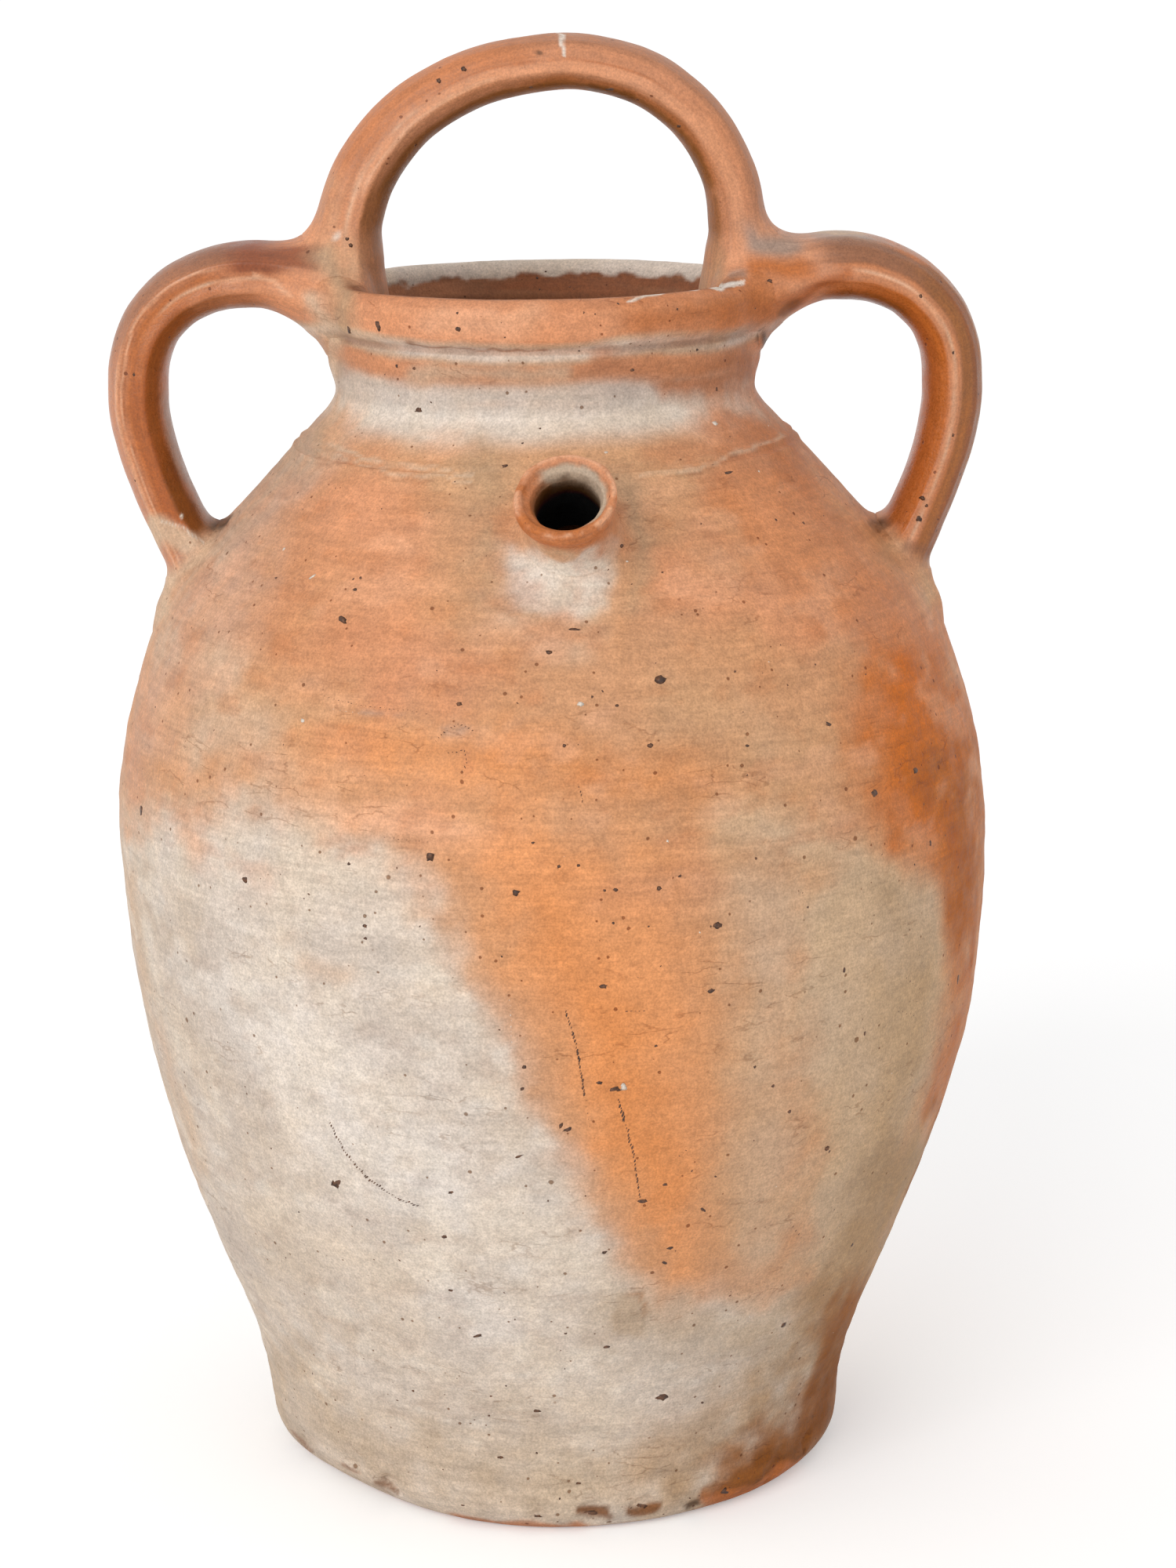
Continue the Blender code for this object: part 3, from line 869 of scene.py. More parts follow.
@dataclass
class PulledStrap:
    """A pulled strap swept along a path in the pot's upright middle plane."""

    name: str
    piece: Piece
    knots: tuple[Knot, ...]
    thickness: float
    outward: float
    crests: tuple[Crest, ...]
    stripes: tuple[Stripe, ...]
    gloss: float
    width: float = 0.026
    squareness: float = 2.35
    columns: int = 104
    ring_spacing: float = 0.0008
    path_steps: int = 10
    path_spacing: float = 0.0015
    table_margin: float = 0.030
    table_step: float = 0.0008
    brushing_squeeze: float = 0.10
    crest_wander_degrees: float = 5.0
    crest_wander_squeeze: float = 0.2
    skin: ClaySkin | None = None
    noise: ClayNoise = field(default_factory=lambda: ClayNoise(3))
    along: Array | None = None
    across: Array | None = None
    around: Array | None = None

    def swelling(self, turn: Array, place: Array) -> Array:
        """How much the crests widen the strap.

        Args:
            turn: Angles round the strap from its outer edge, in degrees.
            place: How far along the path, in metres.

        Returns:
            Factors on the plain section.
        """
        line = np.zeros((place.size, 3))
        line[:, 0] = place.ravel() * self.crest_wander_squeeze
        wander = self.noise.at(line, 0.01).reshape(place.shape)
        wandering = np.abs(turn) + self.crest_wander_degrees * wander
        factor = np.ones(place.shape)
        for crest in self.crests:
            factor += crest.height_share * bell(wandering, crest.angle_degrees, crest.width_degrees)
        return factor

    @cached_property
    def path(self) -> Array:
        """The middle line as rows of x, height and swell, like a curve with automatic handles."""
        curve = bpy.data.curves.new(self.name, "CURVE")
        curve.dimensions = "3D"
        points = curve.splines.new("BEZIER").bezier_points
        points.add(len(self.knots) - 1)
        for point, (x, height, _) in zip(points, self.knots):
            point.co = (x, 0.0, height)
            point.handle_left_type = point.handle_right_type = "AUTO"
        line = []
        count = self.path_steps + 1
        for i, (here, there) in enumerate(itertools.pairwise(points)):
            stretch = interpolate_bezier(here.co, here.handle_right, there.handle_left, there.co, count)
            swells = np.linspace(self.knots[i][2], self.knots[i + 1][2], count)
            line.extend((p.x, p.z, swell) for p, swell in list(zip(stretch, swells))[:-1])
        line.append(self.knots[-1])
        bpy.data.curves.remove(curve)
        return resampled(np.array(line), self.path_spacing)

    @cached_property
    def ways(self) -> Array:
        """How far along the path each of its points is, in metres."""
        steps = np.linalg.norm(np.diff(self.path[:, :2], axis=0), axis=1)
        return np.concatenate([[0.0], np.cumsum(steps)])

    @cached_property
    def frames(self) -> tuple[Array, Array]:
        """The path's directions, and the directions across it away from the loop."""
        run = np.gradient(self.path[:, :2], axis=0)
        run /= np.linalg.norm(run, axis=1, keepdims=True)
        return run, self.outward * np.stack([-run[:, 1], run[:, 0]], axis=1)

    @cached_property
    def _table(self) -> FieldTable:
        """How far places of the middle plane are across and past the path, with its swell and way there."""
        path = self.path
        low = tuple((path[:, :2].min(axis=0) - self.table_margin).tolist())
        high = tuple((path[:, :2].max(axis=0) + self.table_margin).tolist())

        def measure(places: Array) -> list[Array]:
            """Measure places of the middle plane from the path."""
            _, along = nearest_on_line(path[:, :2], places)
            steps = np.arange(len(path))

            def there(columns: Array) -> Array:
                """Values of the path's points, read at the nearest places."""
                return np.stack([np.interp(along, steps, column) for column in columns.T], axis=1)

            run, outwards = self.frames
            offset = places - there(path[:, :2])
            past = np.abs(np.einsum("ij,ij->i", offset, there(run)))
            across = np.einsum("ij,ij->i", offset, there(outwards))
            return [across, past, *there(np.column_stack([path[:, 2], self.ways])).T]

        return FieldTable(low, high, self.table_step, measure)

    def distance(self, points: Array) -> Array:
        """Signed distance from points to the strap."""
        across, past, swell, place = self._table.at(points[:, 0], points[:, 2]).T
        first = across / (swell * self.thickness / 2.0)
        second = points[:, 1] / (swell * self.width / 2.0)
        power = self.squareness
        leading = np.sign(first) * np.abs(first) ** (power / 2.0)
        turn = np.degrees(np.arctan2(np.abs(second) ** (power / 2.0), leading))
        factor = self.swelling(turn, place)
        first, second = np.abs(first) / factor, np.abs(second) / factor
        level = np.maximum((first**power + second**power) ** (1.0 / power), 1e-6)
        around = np.hypot(across, points[:, 1]) * (1.0 - 1.0 / level)
        around = np.where(level < 0.05, -swell * self.thickness / 2.0, around)
        past = past - self.table_step
        beyond = np.hypot(np.maximum(around, 0.0), np.maximum(past, 0.0))
        return np.minimum(np.maximum(around, past), 0.0) + beyond

    @staticmethod
    def _evened(ends: Array, deeper: Callable[[Array], Array]) -> Array:
        """Where the strap's lines end, with no jump from one line to the next.

        Args:
            ends: Places along the path, one per line.
            deeper: Picks the deeper one of neighbouring places.

        Returns:
            Evened places, one per line.
        """
        shifts = range(-2, 3)
        ends = deeper(np.stack([np.roll(ends, shift) for shift in shifts]))
        return np.mean([np.roll(ends, shift) for shift in shifts], axis=0)

    def build(self, carriers: Distance | None = None, sink: float = 0.0028) -> None:
        """Pull the strap, with each of its lines ended a little inside what it is luted to.

        Args:
            carriers: Signed distance to the pieces that carry it; without it the path's own ends are kept.
            sink: How far inside them a line ends.
        """
        path, (_, outwards) = self.path, self.frames
        angle = np.linspace(0.0, FULL_TURN, self.columns, endpoint=False)
        power = 2.0 / self.squareness
        unit_x = np.sign(np.cos(angle)) * np.abs(np.cos(angle)) ** power
        unit_y = -np.sign(np.sin(angle)) * np.abs(np.sin(angle)) ** power
        swell = path[:, 2][:, None]
        across = swell * self.thickness / 2.0 * unit_x
        deep = swell * self.width / 2.0 * unit_y
        x, z = (path[:, k][:, None] + outwards[:, k][:, None] * across for k in range(2))
        grid = np.stack([x, deep, z], axis=-1)
        start, end = np.zeros(self.columns), np.full(self.columns, len(path) - 1.0)
        if carriers is not None:
            sunk = carriers(grid.reshape(-1, 3)).reshape(x.shape) < -sink
            half = len(path) // 2
            order = np.arange(len(path))[:, None]
            start = np.where(sunk & (order < half), order, 0).max(axis=0)
            end = np.where(sunk & (order > half), order, len(path) - 1).min(axis=0)
            start = self._evened(start, lambda places: places.min(axis=0))
            end = self._evened(end, lambda places: places.max(axis=0))
        share = np.linspace(0.0, 1.0, round(self.ways[-1] / self.ring_spacing))[:, None]
        at = start + share * (end - start)
        low = np.clip(at.astype(int), 0, len(path) - 2)
        part = (at - low)[..., None]
        column = np.arange(self.columns)[None, :]
        rings = grid[low, column] * (1.0 - part) + grid[low + 1, column] * part
        centre = np.stack([path[:, 0], np.zeros(len(path)), path[:, 1]], axis=1)
        middle = centre[low] * (1.0 - part) + centre[low + 1] * part
        place = np.interp(at, np.arange(len(path)), self.ways)
        turn = np.degrees((angle + math.pi) % FULL_TURN - math.pi)[None, :]
        rings = middle + (rings - middle) * self.swelling(turn, place)[..., None]
        self.skin = ClaySkin(self.name, rings, Ends.FANS)
        self.along = np.append(place.ravel(), [place[0].mean(), place[-1].mean()]) / self.ways[-1]
        self.across = np.append(np.broadcast_to((1.0 - unit_x) / 2.0, place.shape).ravel(), [0.5, 0.5])
        self.around = np.append(np.broadcast_to(unit_y, place.shape).ravel(), [0.0, 0.0])

    def way(self) -> Array:
        """Coordinates for brushing that runs along the strap, in metres."""
        along = self.brushing_squeeze * self.along * float(self.ways[-1])
        return np.stack([along, self.across * self.thickness, self.around * self.width / 2.0], axis=1)


@dataclass
class LutedSpout:
    """The thrown spout on the shoulder, with its rolled rim and its bore."""

    section: WallSection
    bore_radius: float = 0.0092
    wall: float = 0.0038
    bead_projection: float = 0.0019
    bead_height: float = 0.0060
    flare_depth: float = 0.0055
    lip_rounding: float = 0.0014
    protrusion: float = 0.019
    root_depth: float = 0.011
    place_degrees: float = 3.5
    turn_degrees: float = -8.0
    rise_degrees: float = 46.0
    place_share: float = 0.208
    bore_gap: float = 0.00015
    sink: float = 0.0012
    columns: int = 168
    cutter_columns: int = 96
    tube_rings: int = 40
    inner_rim_rings: int = 6
    root_levels: int = 160
    highest_root: float = -0.004
    rim_zone: Pixel = (-0.009, -0.003)
    tube_relief: float = 0.00012
    rim_relief: float = 0.00028
    relief_cell: float = 0.0065
    skin: ClaySkin | None = None
    inner: Array | None = None

    @property
    def tube_radius(self) -> float:
        """Radius of the tube's outside."""
        return self.bore_radius + self.wall

    @property
    def crest_radius(self) -> float:
        """Radius of the top of its lip."""
        return self.tube_radius + self.bead_projection - self.lip_rounding

    def matrix(self) -> Matrix:
        """Where the middle of the mouth is on the upright pot, with local Z out along the spout."""
        place, rise = math.radians(self.place_degrees), math.radians(self.rise_degrees)
        radius, height = self.section.place(self.place_share)
        reach = radius + self.protrusion * math.cos(rise)
        height += self.protrusion * math.sin(rise)
        middle = Matrix.Translation((reach * math.sin(place), -reach * math.cos(place), height))
        turn = Matrix.Rotation(math.radians(self.turn_degrees), 4, "Z")
        return middle @ turn @ Matrix.Rotation(math.radians(90.0) - rise, 4, "X")

    def local(self, points: Array) -> Array:
        """Points in the spout's own frame."""
        inverse = np.array(self.matrix().inverted())
        return points @ inverse[:3, :3].T + inverse[:3, 3]

    def distance(self, points: Array) -> Array:
        """Signed distance from points to the filled tube."""
        local = self.local(points)
        around = np.hypot(local[:, 0], local[:, 1]) - self.bore_radius - self.wall
        return np.maximum(around, -local[:, 2] - self.protrusion - self.root_depth / 2.0)

    def bore_cutter(self) -> bpy.types.Object:
        """A closed cylinder along the bore, a hair wider than the spout's own."""
        depth = self.protrusion + 3.0 * self.section.wall
        angle = np.linspace(0.0, FULL_TURN, self.cutter_columns, endpoint=False)
        radius = self.bore_radius + self.bore_gap
        rings = np.stack([
            np.stack([radius * np.cos(angle), radius * np.sin(angle), np.full(len(angle), level)], axis=1)
            for level in (-depth, -self.flare_depth)
        ])
        cutter = ClaySkin("bore_cutter", rings, Ends.FANS).object
        cutter.data.transform(self.matrix())
        cutter.hide_render = True
        return cutter

    def build(self, jar: ThrownJar) -> None:
        """Throw the tube, with its root cut to the shoulder."""
        bore, tube, arc = self.bore_radius, self.tube_radius, self.section.arc
        crest = self.crest_radius
        flare = np.array([
            (bore, -self.flare_depth - 0.002), (bore + 0.0002, -self.flare_depth),
            (bore + 0.0012, -self.flare_depth / 2.0), (crest - 1.1 * self.lip_rounding, -self.lip_rounding),
        ])
        lip = arc((crest, -self.lip_rounding), (self.lip_rounding, self.lip_rounding), 160.0, 0.0)
        half_bead = self.bead_height / 2.0
        bead = arc((tube, -half_bead), (self.bead_projection, half_bead), 60.0, -90.0)
        stretches = ((flare, 0.0004), (lip, 0.0003))
        top = [resampled(line, spacing)[:-1] for line, spacing in stretches]
        top = np.concatenate([*top, resampled(bead, 0.0004)])
        angle = np.linspace(0.0, FULL_TURN, self.columns, endpoint=False)
        matrix = np.array(self.matrix())
        levels = np.linspace(self.highest_root, -self.protrusion - self.root_depth, self.root_levels)

        def ring_at(radius: float, level: Array) -> Array:
            """Points on a circle round the spout's axis, each at its own level."""
            level = np.broadcast_to(level, angle.shape)
            local = np.stack([radius * np.cos(angle), radius * np.sin(angle), level], axis=1)
            return local @ matrix[:3, :3].T + matrix[:3, 3]

        roots = []
        for radius in (bore, tube):
            depth = np.stack([jar.distance(ring_at(radius, level)) for level in levels])
            roots.append(levels[np.argmax(depth < -self.sink, axis=0)])
        shares = np.linspace(0.0, 1.0, self.tube_rings)
        inside = [ring_at(bore, roots[0] + share * (top[0, 1] - roots[0])) for share in shares[:-1]]
        rim = [ring_at(radius, level) for radius, level in top]
        outside = [ring_at(tube, top[-1, 1] + share * (roots[1] - top[-1, 1])) for share in shares[1:]]
        rings = np.stack(inside + rim + outside)
        self.skin = ClaySkin("spout_tube", rings, Ends.LOOP)
        self.inner = np.repeat(np.arange(len(rings)) < len(inside) + self.inner_rim_rings, self.columns)

    def relief(self, points: Array, noise: ClayNoise) -> Array:
        """The hand-made unevenness of the rim and the tube."""
        level = self.local(points)[:, 2]
        rim = eased(level, *self.rim_zone)
        return (self.tube_relief + self.rim_relief * rim) * noise.at(points, self.relief_cell, 2)


class Tone(Enum):
    """The colours that the clay, its slip and its ash have fired to, and those of the painted shade and
    highlights.
    """

    SNOW = (234, 222, 208)
    CHALK = (230, 218, 206)
    CREAM = (219, 203, 187)
    STONE = (204, 187, 171)
    PUTTY = (196, 174, 151)
    BLUSH = (205, 165, 141)
    PUMICE = (210, 180, 150)
    FLINT = (200, 169, 137)
    ASH_AND_SHADE = (190, 158, 128)
    DRAB = (178, 147, 116)
    SAND = (212, 184, 158)
    WHEAT = (206, 166, 132)
    HONEY = (209, 157, 120)
    PEACH = (231, 176, 141)
    APRICOT = (221, 157, 120)
    MELON = (229, 160, 113)
    EMBER = (222, 143, 89)
    AMBER = (216, 138, 84)
    FLAME = (204, 114, 56)
    TOBACCO = (148, 86, 36)
    CLAY = (205, 142, 107)
    BRICK = (192, 122, 82)
    RUST = (186, 110, 64)
    CINNAMON = (168, 99, 63)
    UMBER = (156, 104, 68)
    BARK = (128, 82, 52)
    DUSK = (149, 107, 85)
    MAUVE = (167, 143, 128)
    LIVER = (140, 84, 64)
    SOOT_AND_SHADE = (86, 67, 55)
    COAL = (48, 38, 32)


@dataclass(frozen=True)
class Flash:
    """A patch that fire, ash, slip or wear has left, placed by pixels of the photograph; some patches are
    painted shade and painted highlights instead.

    Its path is given as x and y in turn. With a reach it is a stroke along the path, and without
    one it is the area within it.
    """

    tone: Tone
    path_px: tuple[float, ...]
    reach_px: float
    soft_px: float
    strength: float = 1.0
    gloss: float | None = None

    def mask(self, pixels: Array) -> Array:
        """How much of the patch each pixel place has, from 0 to 1."""
        path = np.array(self.path_px, dtype=float).reshape(-1, 2)
        filled = self.reach_px == 0
        margin = self.reach_px + self.soft_px
        low, high = path.min(axis=0) - margin, path.max(axis=0) + margin
        near = ((pixels > low) & (pixels < high)).all(axis=1)
        result = np.zeros(len(pixels))
        places = pixels[near]
        if len(path) == 1:
            gap = np.linalg.norm(places - path[0], axis=1)
        else:
            gap, _ = nearest_on_line(path, places, closed=filled)
        if filled:
            gap = np.where(within_outline(path, places), -gap, gap)
        result[near] = eased(gap - self.reach_px, self.soft_px / 2.0, -self.soft_px / 2.0)
        return result


@dataclass(frozen=True)
class Ring:
    """A band of colour round the upright pot between two heights."""

    tone: Tone
    low: float
    high: float
    soft: float
    strength: float = 1.0
    gloss: float | None = None

    def mask(self, height: Array) -> Array:
        """How much of the band each height has, from 0 to 1."""
        rise = eased(height, self.low - self.soft / 2.0, self.low + self.soft / 2.0)
        fall = eased(height, self.high + self.soft / 2.0, self.high - self.soft / 2.0)
        return rise * fall


@dataclass(frozen=True)
class Stripe:
    """A stripe along a strap, between shares of the way from its outer to its inner edge."""

    tone: Tone
    across: tuple[float, float]
    along: tuple[float, float] = (-1.0, 2.0)
    strength: float = 1.0
    soft: float = 0.10
    soft_along: float = 0.12

    def mask(self, across: Array, along: Array) -> Array:
        """How much of the stripe each place has, from 0 to 1."""
        share = np.ones(len(across))
        limits = ((across, self.across, self.soft), (along, self.along, self.soft_along))
        for value, (low, high), soft in limits:
            share *= eased(value, low - soft / 2.0, low + soft / 2.0)
            share *= eased(value, high + soft / 2.0, high - soft / 2.0)
        return share


@dataclass(frozen=True)
class Cloud:
    """Soft patches scattered over a range of heights."""

    tone: Tone
    low: float
    high: float
    cell: float
    start: float
    full: float
    strength: float
    pale_only: bool = False


class Palette:
    """What is laid on the pot, in the order of the firing, with painted shade deep inside the jar and in the
    bore.
    """

    ground = Tone.HONEY
    ground_gloss = 0.40
    inside_top = Tone.DUSK
    # painted shade deep inside the jar
    inside_deep_shade = Tone.COAL
    inside_lip = Tone.CREAM
    underside = Tone.CLAY
    spout_ground = Tone.CLAY
    spout_funnel = Tone.PUTTY
    # painted shade in the spout's bore and the hole behind it
    bore = Tone.COAL

    spout_gloss = 0.45

    flash_warp_px = 17.0
    flash_warp_cell = 0.022
    fine_warp_px = 6.0
    fine_warp_cell = 0.007
    fine_below_px = 12.0
    back_warp_px = 90.0
    back_warp_cell = 0.070
    back_zone = (0.010, 0.060)
    front_only_px = 43.0
    front_zone = (0.030, 0.004)
    raggedness = 0.30
    ragged_cell = 0.0085
    ring_wander = 0.0014
    mirrored = 0.040

    inside_fade = (0.362, 0.330)
    inside_lip_zone = (0.3700, 0.3716)
    crest_zone = (0.3718, 0.3742)
    underside_zone = (0.0012, 0.0004)
    hole_shade_zone = (0.0040, 0.0022)
    streak_cell = (0.05, 0.05, 0.0030)
    streak_strength = 0.35
    spout_patch_cell = 0.004
    spout_patch_strength = 0.6
    spout_root_zone = (0.0140, 0.0090)
    jar_brushing = (0.10, 0.10, 1.0)
    spout_brushing = (0.3, 0.3, 1.0)


RINGS: tuple[Ring, ...] = rows(
    Ring,
    (Tone.WHEAT, 0.3180, 0.3345, 0.012, 0.6, 0.30),
    (Tone.CREAM, 0.3335, 0.3500, 0.008, 1.0, 0.26),
    # Painted light: the chalk ring lightens the pale band where the neck faces slightly down into shade.
    (Tone.CHALK, 0.3400, 0.3510, 0.006, 0.60, 0.26),
    (Tone.SNOW, 0.3395, 0.3500, 0.006, 0.35, 0.26),
    (Tone.APRICOT, 0.3515, 0.3570, 0.005, 0.95, 0.42),
    (Tone.APRICOT, 0.3600, 0.4100, 0.0016, 1.0, 0.42),
    (Tone.SAND, 0.3568, 0.3634, 0.0020, 0.90, 0.30),
    (Tone.SNOW, 0.3580, 0.3618, 0.0016, 0.75, 0.30),
    (Tone.CLAY, 0.3722, 0.3800, 0.002, 0.7, 0.45),
)
FLASHES: tuple[Flash, ...] = rows(
    Flash,
    # Shoulder, left to right
    (Tone.WHEAT, (470, 585, 560, 610, 640, 620), 16, 50, 0.5, 0.32),
    (Tone.CLAY, (440, 620, 390, 700, 330, 800), 44, 110, 0.6, 0.40),
    (Tone.APRICOT, (470, 650, 480, 760, 520, 850), 60, 120, 0.8, 0.42),
    (Tone.BLUSH, (410, 545, 360, 620, 285, 720, 225, 820, 185, 930), 24, 70, 0.85, 0.28),
    (Tone.PUTTY, (408, 552, 352, 612, 300, 665, 250, 712), 16, 60, 0.9, 0.26),
    (Tone.ASH_AND_SHADE, (618, 600, 622, 690, 616, 770), 24, 60, 0.8, 0.30),
    (Tone.HONEY, (640, 800, 760, 850, 860, 860), 40, 90, 0.7),
    (Tone.CLAY, (900, 540, 985, 530, 1100, 650, 1190, 770, 1220, 860, 1120, 850, 1010, 760, 890, 640),
     0, 90, 0.85, 0.42),
    (Tone.BRICK, (930, 540, 990, 560, 1010, 620), 20, 60, 0.7),
    (Tone.APRICOT, (860, 750, 960, 760, 1030, 810), 36, 80, 0.85),
    (Tone.BRICK, (1110, 760, 1160, 800), 26, 70, 0.6),
    # Painted shadow to the right of the spout.
    (Tone.ASH_AND_SHADE, (803, 630, 822, 700, 820, 760), 16, 44, 0.7, 0.3),
    (Tone.CLAY, (782, 650, 798, 700), 8, 30, 0.6, 0.3),
    (Tone.BLUSH, (330, 640, 300, 740, 270, 840, 235, 900), 34, 90, 0.6, 0.3),
    (Tone.SAND, (264, 714, 230, 770, 206, 830), 10, 60, 0.7, 0.28),
    (Tone.CLAY, (400, 830, 480, 850, 600, 850, 560, 885), 36, 90, 0.55, 0.4),
    (Tone.SAND, (280, 870, 280, 920, 340, 930), 26, 90, 0.75, 0.3),
    (Tone.AMBER, (950, 650, 1010, 710, 1070, 770), 26, 90, 0.60, 0.42),
    (Tone.APRICOT, (960, 650, 1010, 700, 1060, 750), 22, 90, 0.50, 0.42),
    # Belly
    (Tone.WHEAT, (215, 905, 330, 905, 520, 925), 12, 44, 0.5, 0.3),
    (Tone.BLUSH, (160, 960, 180, 1040), 22, 60, 0.7),
    (Tone.SAND, (250, 952, 340, 966, 440, 976), 18, 60, 0.5, 0.3),
    (Tone.MELON, (430, 960, 560, 975, 640, 1000), 34, 70, 0.7, 0.50),
    # Painted sheen: a pale pinkish line across the upper belly.
    (Tone.PEACH, (380, 1035, 530, 1050, 640, 1080), 20, 50, 0.9, 0.62),
    (Tone.AMBER, (640, 950, 760, 980, 900, 1010), 24, 90, 0.60),
    (Tone.EMBER, (470, 932, 560, 944, 660, 948), 26, 60, 0.4),
    (Tone.WHEAT, (990, 930, 1060, 950), 16, 70, 0.6, 0.3),
    (Tone.AMBER, (650, 1105, 760, 1115), 22, 60, 0.8),
    (Tone.WHEAT, (860, 900, 950, 930, 1010, 990, 1010, 1030), 34, 90, 0.65, 0.30),
    (Tone.PUMICE, (930, 1045, 1000, 1060, 1080, 1085), 34, 70, 0.8, 0.28),
    (Tone.FLAME, (1090, 860, 1130, 820, 1190, 840, 1230, 950, 1250, 1080, 1250, 1220, 1220, 1180,
     1180, 1104, 1130, 1084, 1112, 1000, 1098, 920), 0, 96, 0.95, 0.50),
    (Tone.CLAY, (1060, 790, 1140, 770, 1200, 830), 24, 60, 0.6),
    (Tone.RUST, (1196, 850, 1220, 940, 1236, 1040), 20, 90, 0.75, 0.42),
    (Tone.TOBACCO, (1190, 980, 1210, 1050, 1228, 1130), 12, 90, 0.5, 0.45),
    # The pale side, lower left
    (Tone.CREAM, (110, 1060, 200, 1046, 290, 1038, 370, 1044, 440, 1068, 510, 1112, 572, 1190,
     630, 1290, 676, 1390, 728, 1490, 784, 1600, 850, 1670, 960, 1650, 1080, 1670, 1110, 2100,
     250, 2100, 250, 1700, 110, 1400), 0, 100, 1.0, 0.20),
    (Tone.SAND, (150, 1030, 240, 1016, 330, 1022, 430, 1046), 12, 110, 0.65, 0.28),
    (Tone.WHEAT, (150, 1060, 165, 1130, 180, 1250, 205, 1360, 255, 1500), 6, 40, 0.6, 0.28),
    (Tone.WHEAT, (404, 1226, 440, 1244), 12, 44, 0.55, 0.26),
    (Tone.CHALK, (320, 1290, 460, 1420, 560, 1520, 640, 1620), 70, 130, 0.9, 0.18),
    # Painted shade along the belly's left edge.
    (Tone.STONE, (230, 1180, 260, 1320, 320, 1460), 36, 100, 0.7, 0.2),
    (Tone.STONE, (320, 1580, 400, 1650, 460, 1690), 34, 90, 0.7, 0.2),
    # The orange flash down the middle
    (Tone.WHEAT, (935, 1110, 968, 1200, 980, 1320, 970, 1450, 950, 1580), 34, 110, 0.9, 0.3),
    (Tone.PEACH, (940, 1130, 976, 1230, 984, 1340, 970, 1480), 26, 110, 0.5, 0.3),
    (Tone.MELON, (600, 1090, 650, 1060, 780, 1080, 880, 1110, 896, 1200, 904, 1320, 906, 1440,
     896, 1560, 882, 1630, 868, 1656, 850, 1630, 820, 1560, 744, 1440, 684, 1300, 642, 1190), 0, 140,
     1.0, 0.42),
    (Tone.EMBER, (700, 1170, 760, 1290, 808, 1420, 840, 1520), 34, 100, 0.55, 0.46),
    (Tone.SAND, (990, 1150, 1000, 1300, 990, 1450, 965, 1560), 14, 80, 0.5, 0.32),
    (Tone.SAND, (970, 1460, 978, 1560, 960, 1640), 20, 80, 0.6, 0.32),
    (Tone.WHEAT, (952, 1130, 968, 1250, 966, 1400, 950, 1520), 34, 130, 0.75, 0.32),
    (Tone.SAND, (960, 1150, 976, 1250, 972, 1360), 26, 100, 0.55, 0.32),
    (Tone.HONEY, (900, 1600, 960, 1640), 22, 60, 0.6),
    # The rust on the right edge, the grey patch over it, and painted shade on the lower right side
    (Tone.RUST, (1244, 1060, 1240, 1160, 1232, 1250, 1216, 1330, 1196, 1400), 16, 90, 1.0, 0.40),
    (Tone.TOBACCO, (1224, 980, 1240, 1090, 1234, 1190), 12, 110, 0.55, 0.38),
    (Tone.PUMICE, (1040, 1150, 1050, 1300, 1056, 1450, 1044, 1600), 18, 130, 0.85, 0.26),
    (Tone.PUMICE, (1030, 1130, 1080, 1082, 1150, 1100, 1192, 1150, 1206, 1240, 1200, 1340, 1170, 1450,
     1120, 1590, 1060, 1690, 1030, 1640, 1040, 1540, 1050, 1440, 1040, 1350, 1025, 1250), 0, 44, 1.0,
     0.24),
    # Painted shade over part of the grey patch.
    (Tone.FLINT, (1130, 1230, 1180, 1260, 1180, 1340, 1140, 1440, 1095, 1560, 1090, 1430, 1110, 1320),
     0, 44, 0.8, 0.24),
    (Tone.DRAB, (1120, 1120, 1165, 1190, 1176, 1320, 1146, 1440, 1105, 1560), 10, 60, 0.55),
    # Painted shade: a broad soft darkening down the lower right side, and a thin dark line at its edge.
    (Tone.DRAB, (1160, 1480, 1110, 1580, 1066, 1670, 1050, 1730), 34, 80, 0.95),
    (Tone.TOBACCO, (1206, 1420, 1166, 1530, 1126, 1630, 1090, 1730), 4, 24, 0.8, 0.30),
    (Tone.PUTTY, (800, 1695, 900, 1710, 980, 1710), 36, 90, 0.8, 0.22),
    # Foot
    # Painted shade: the foot greyer and darker towards the bottom.
    (Tone.PUTTY, (350, 1740, 400, 1810, 490, 1850, 620, 1890, 760, 1905), 34, 110, 0.9, 0.18),
    (Tone.PUTTY, (560, 1820, 680, 1830), 30, 90, 0.6, 0.18),
    (Tone.ASH_AND_SHADE, (820, 1890, 880, 1830, 940, 1780), 30, 90, 0.7, 0.2),
    # Painted shade: broad dark brown over the right side of the foot.
    (Tone.DRAB, (1060, 1660, 1010, 1760, 950, 1830, 880, 1880), 26, 110, 0.8, 0.22),
    (Tone.UMBER, (1080, 1660, 1050, 1740, 1024, 1810, 950, 1880), 16, 110, 0.75, 0.25),
    (Tone.UMBER, (1092, 1690, 1060, 1780, 1024, 1840, 950, 1896), 34, 70, 0.9, 0.25),
    (Tone.BARK, (1078, 1740, 1040, 1820, 970, 1890), 22, 60, 0.8, 0.25),
    (Tone.DRAB, (790, 1652, 822, 1652, 830, 1672, 824, 1706, 786, 1708, 778, 1680), 0, 12, 0.38, 0.3),
    (Tone.UMBER, (800, 1652, 822, 1656, 826, 1674), 2, 7, 0.5),
    (Tone.BRICK, (500, 1925, 620, 1943, 760, 1951, 880, 1938, 960, 1912, 1020, 1866), 4, 8, 0.8, 0.3),
    (Tone.BRICK, (905, 1914, 965, 1900, 1003, 1874), 9, 10, 0.8, 0.3),
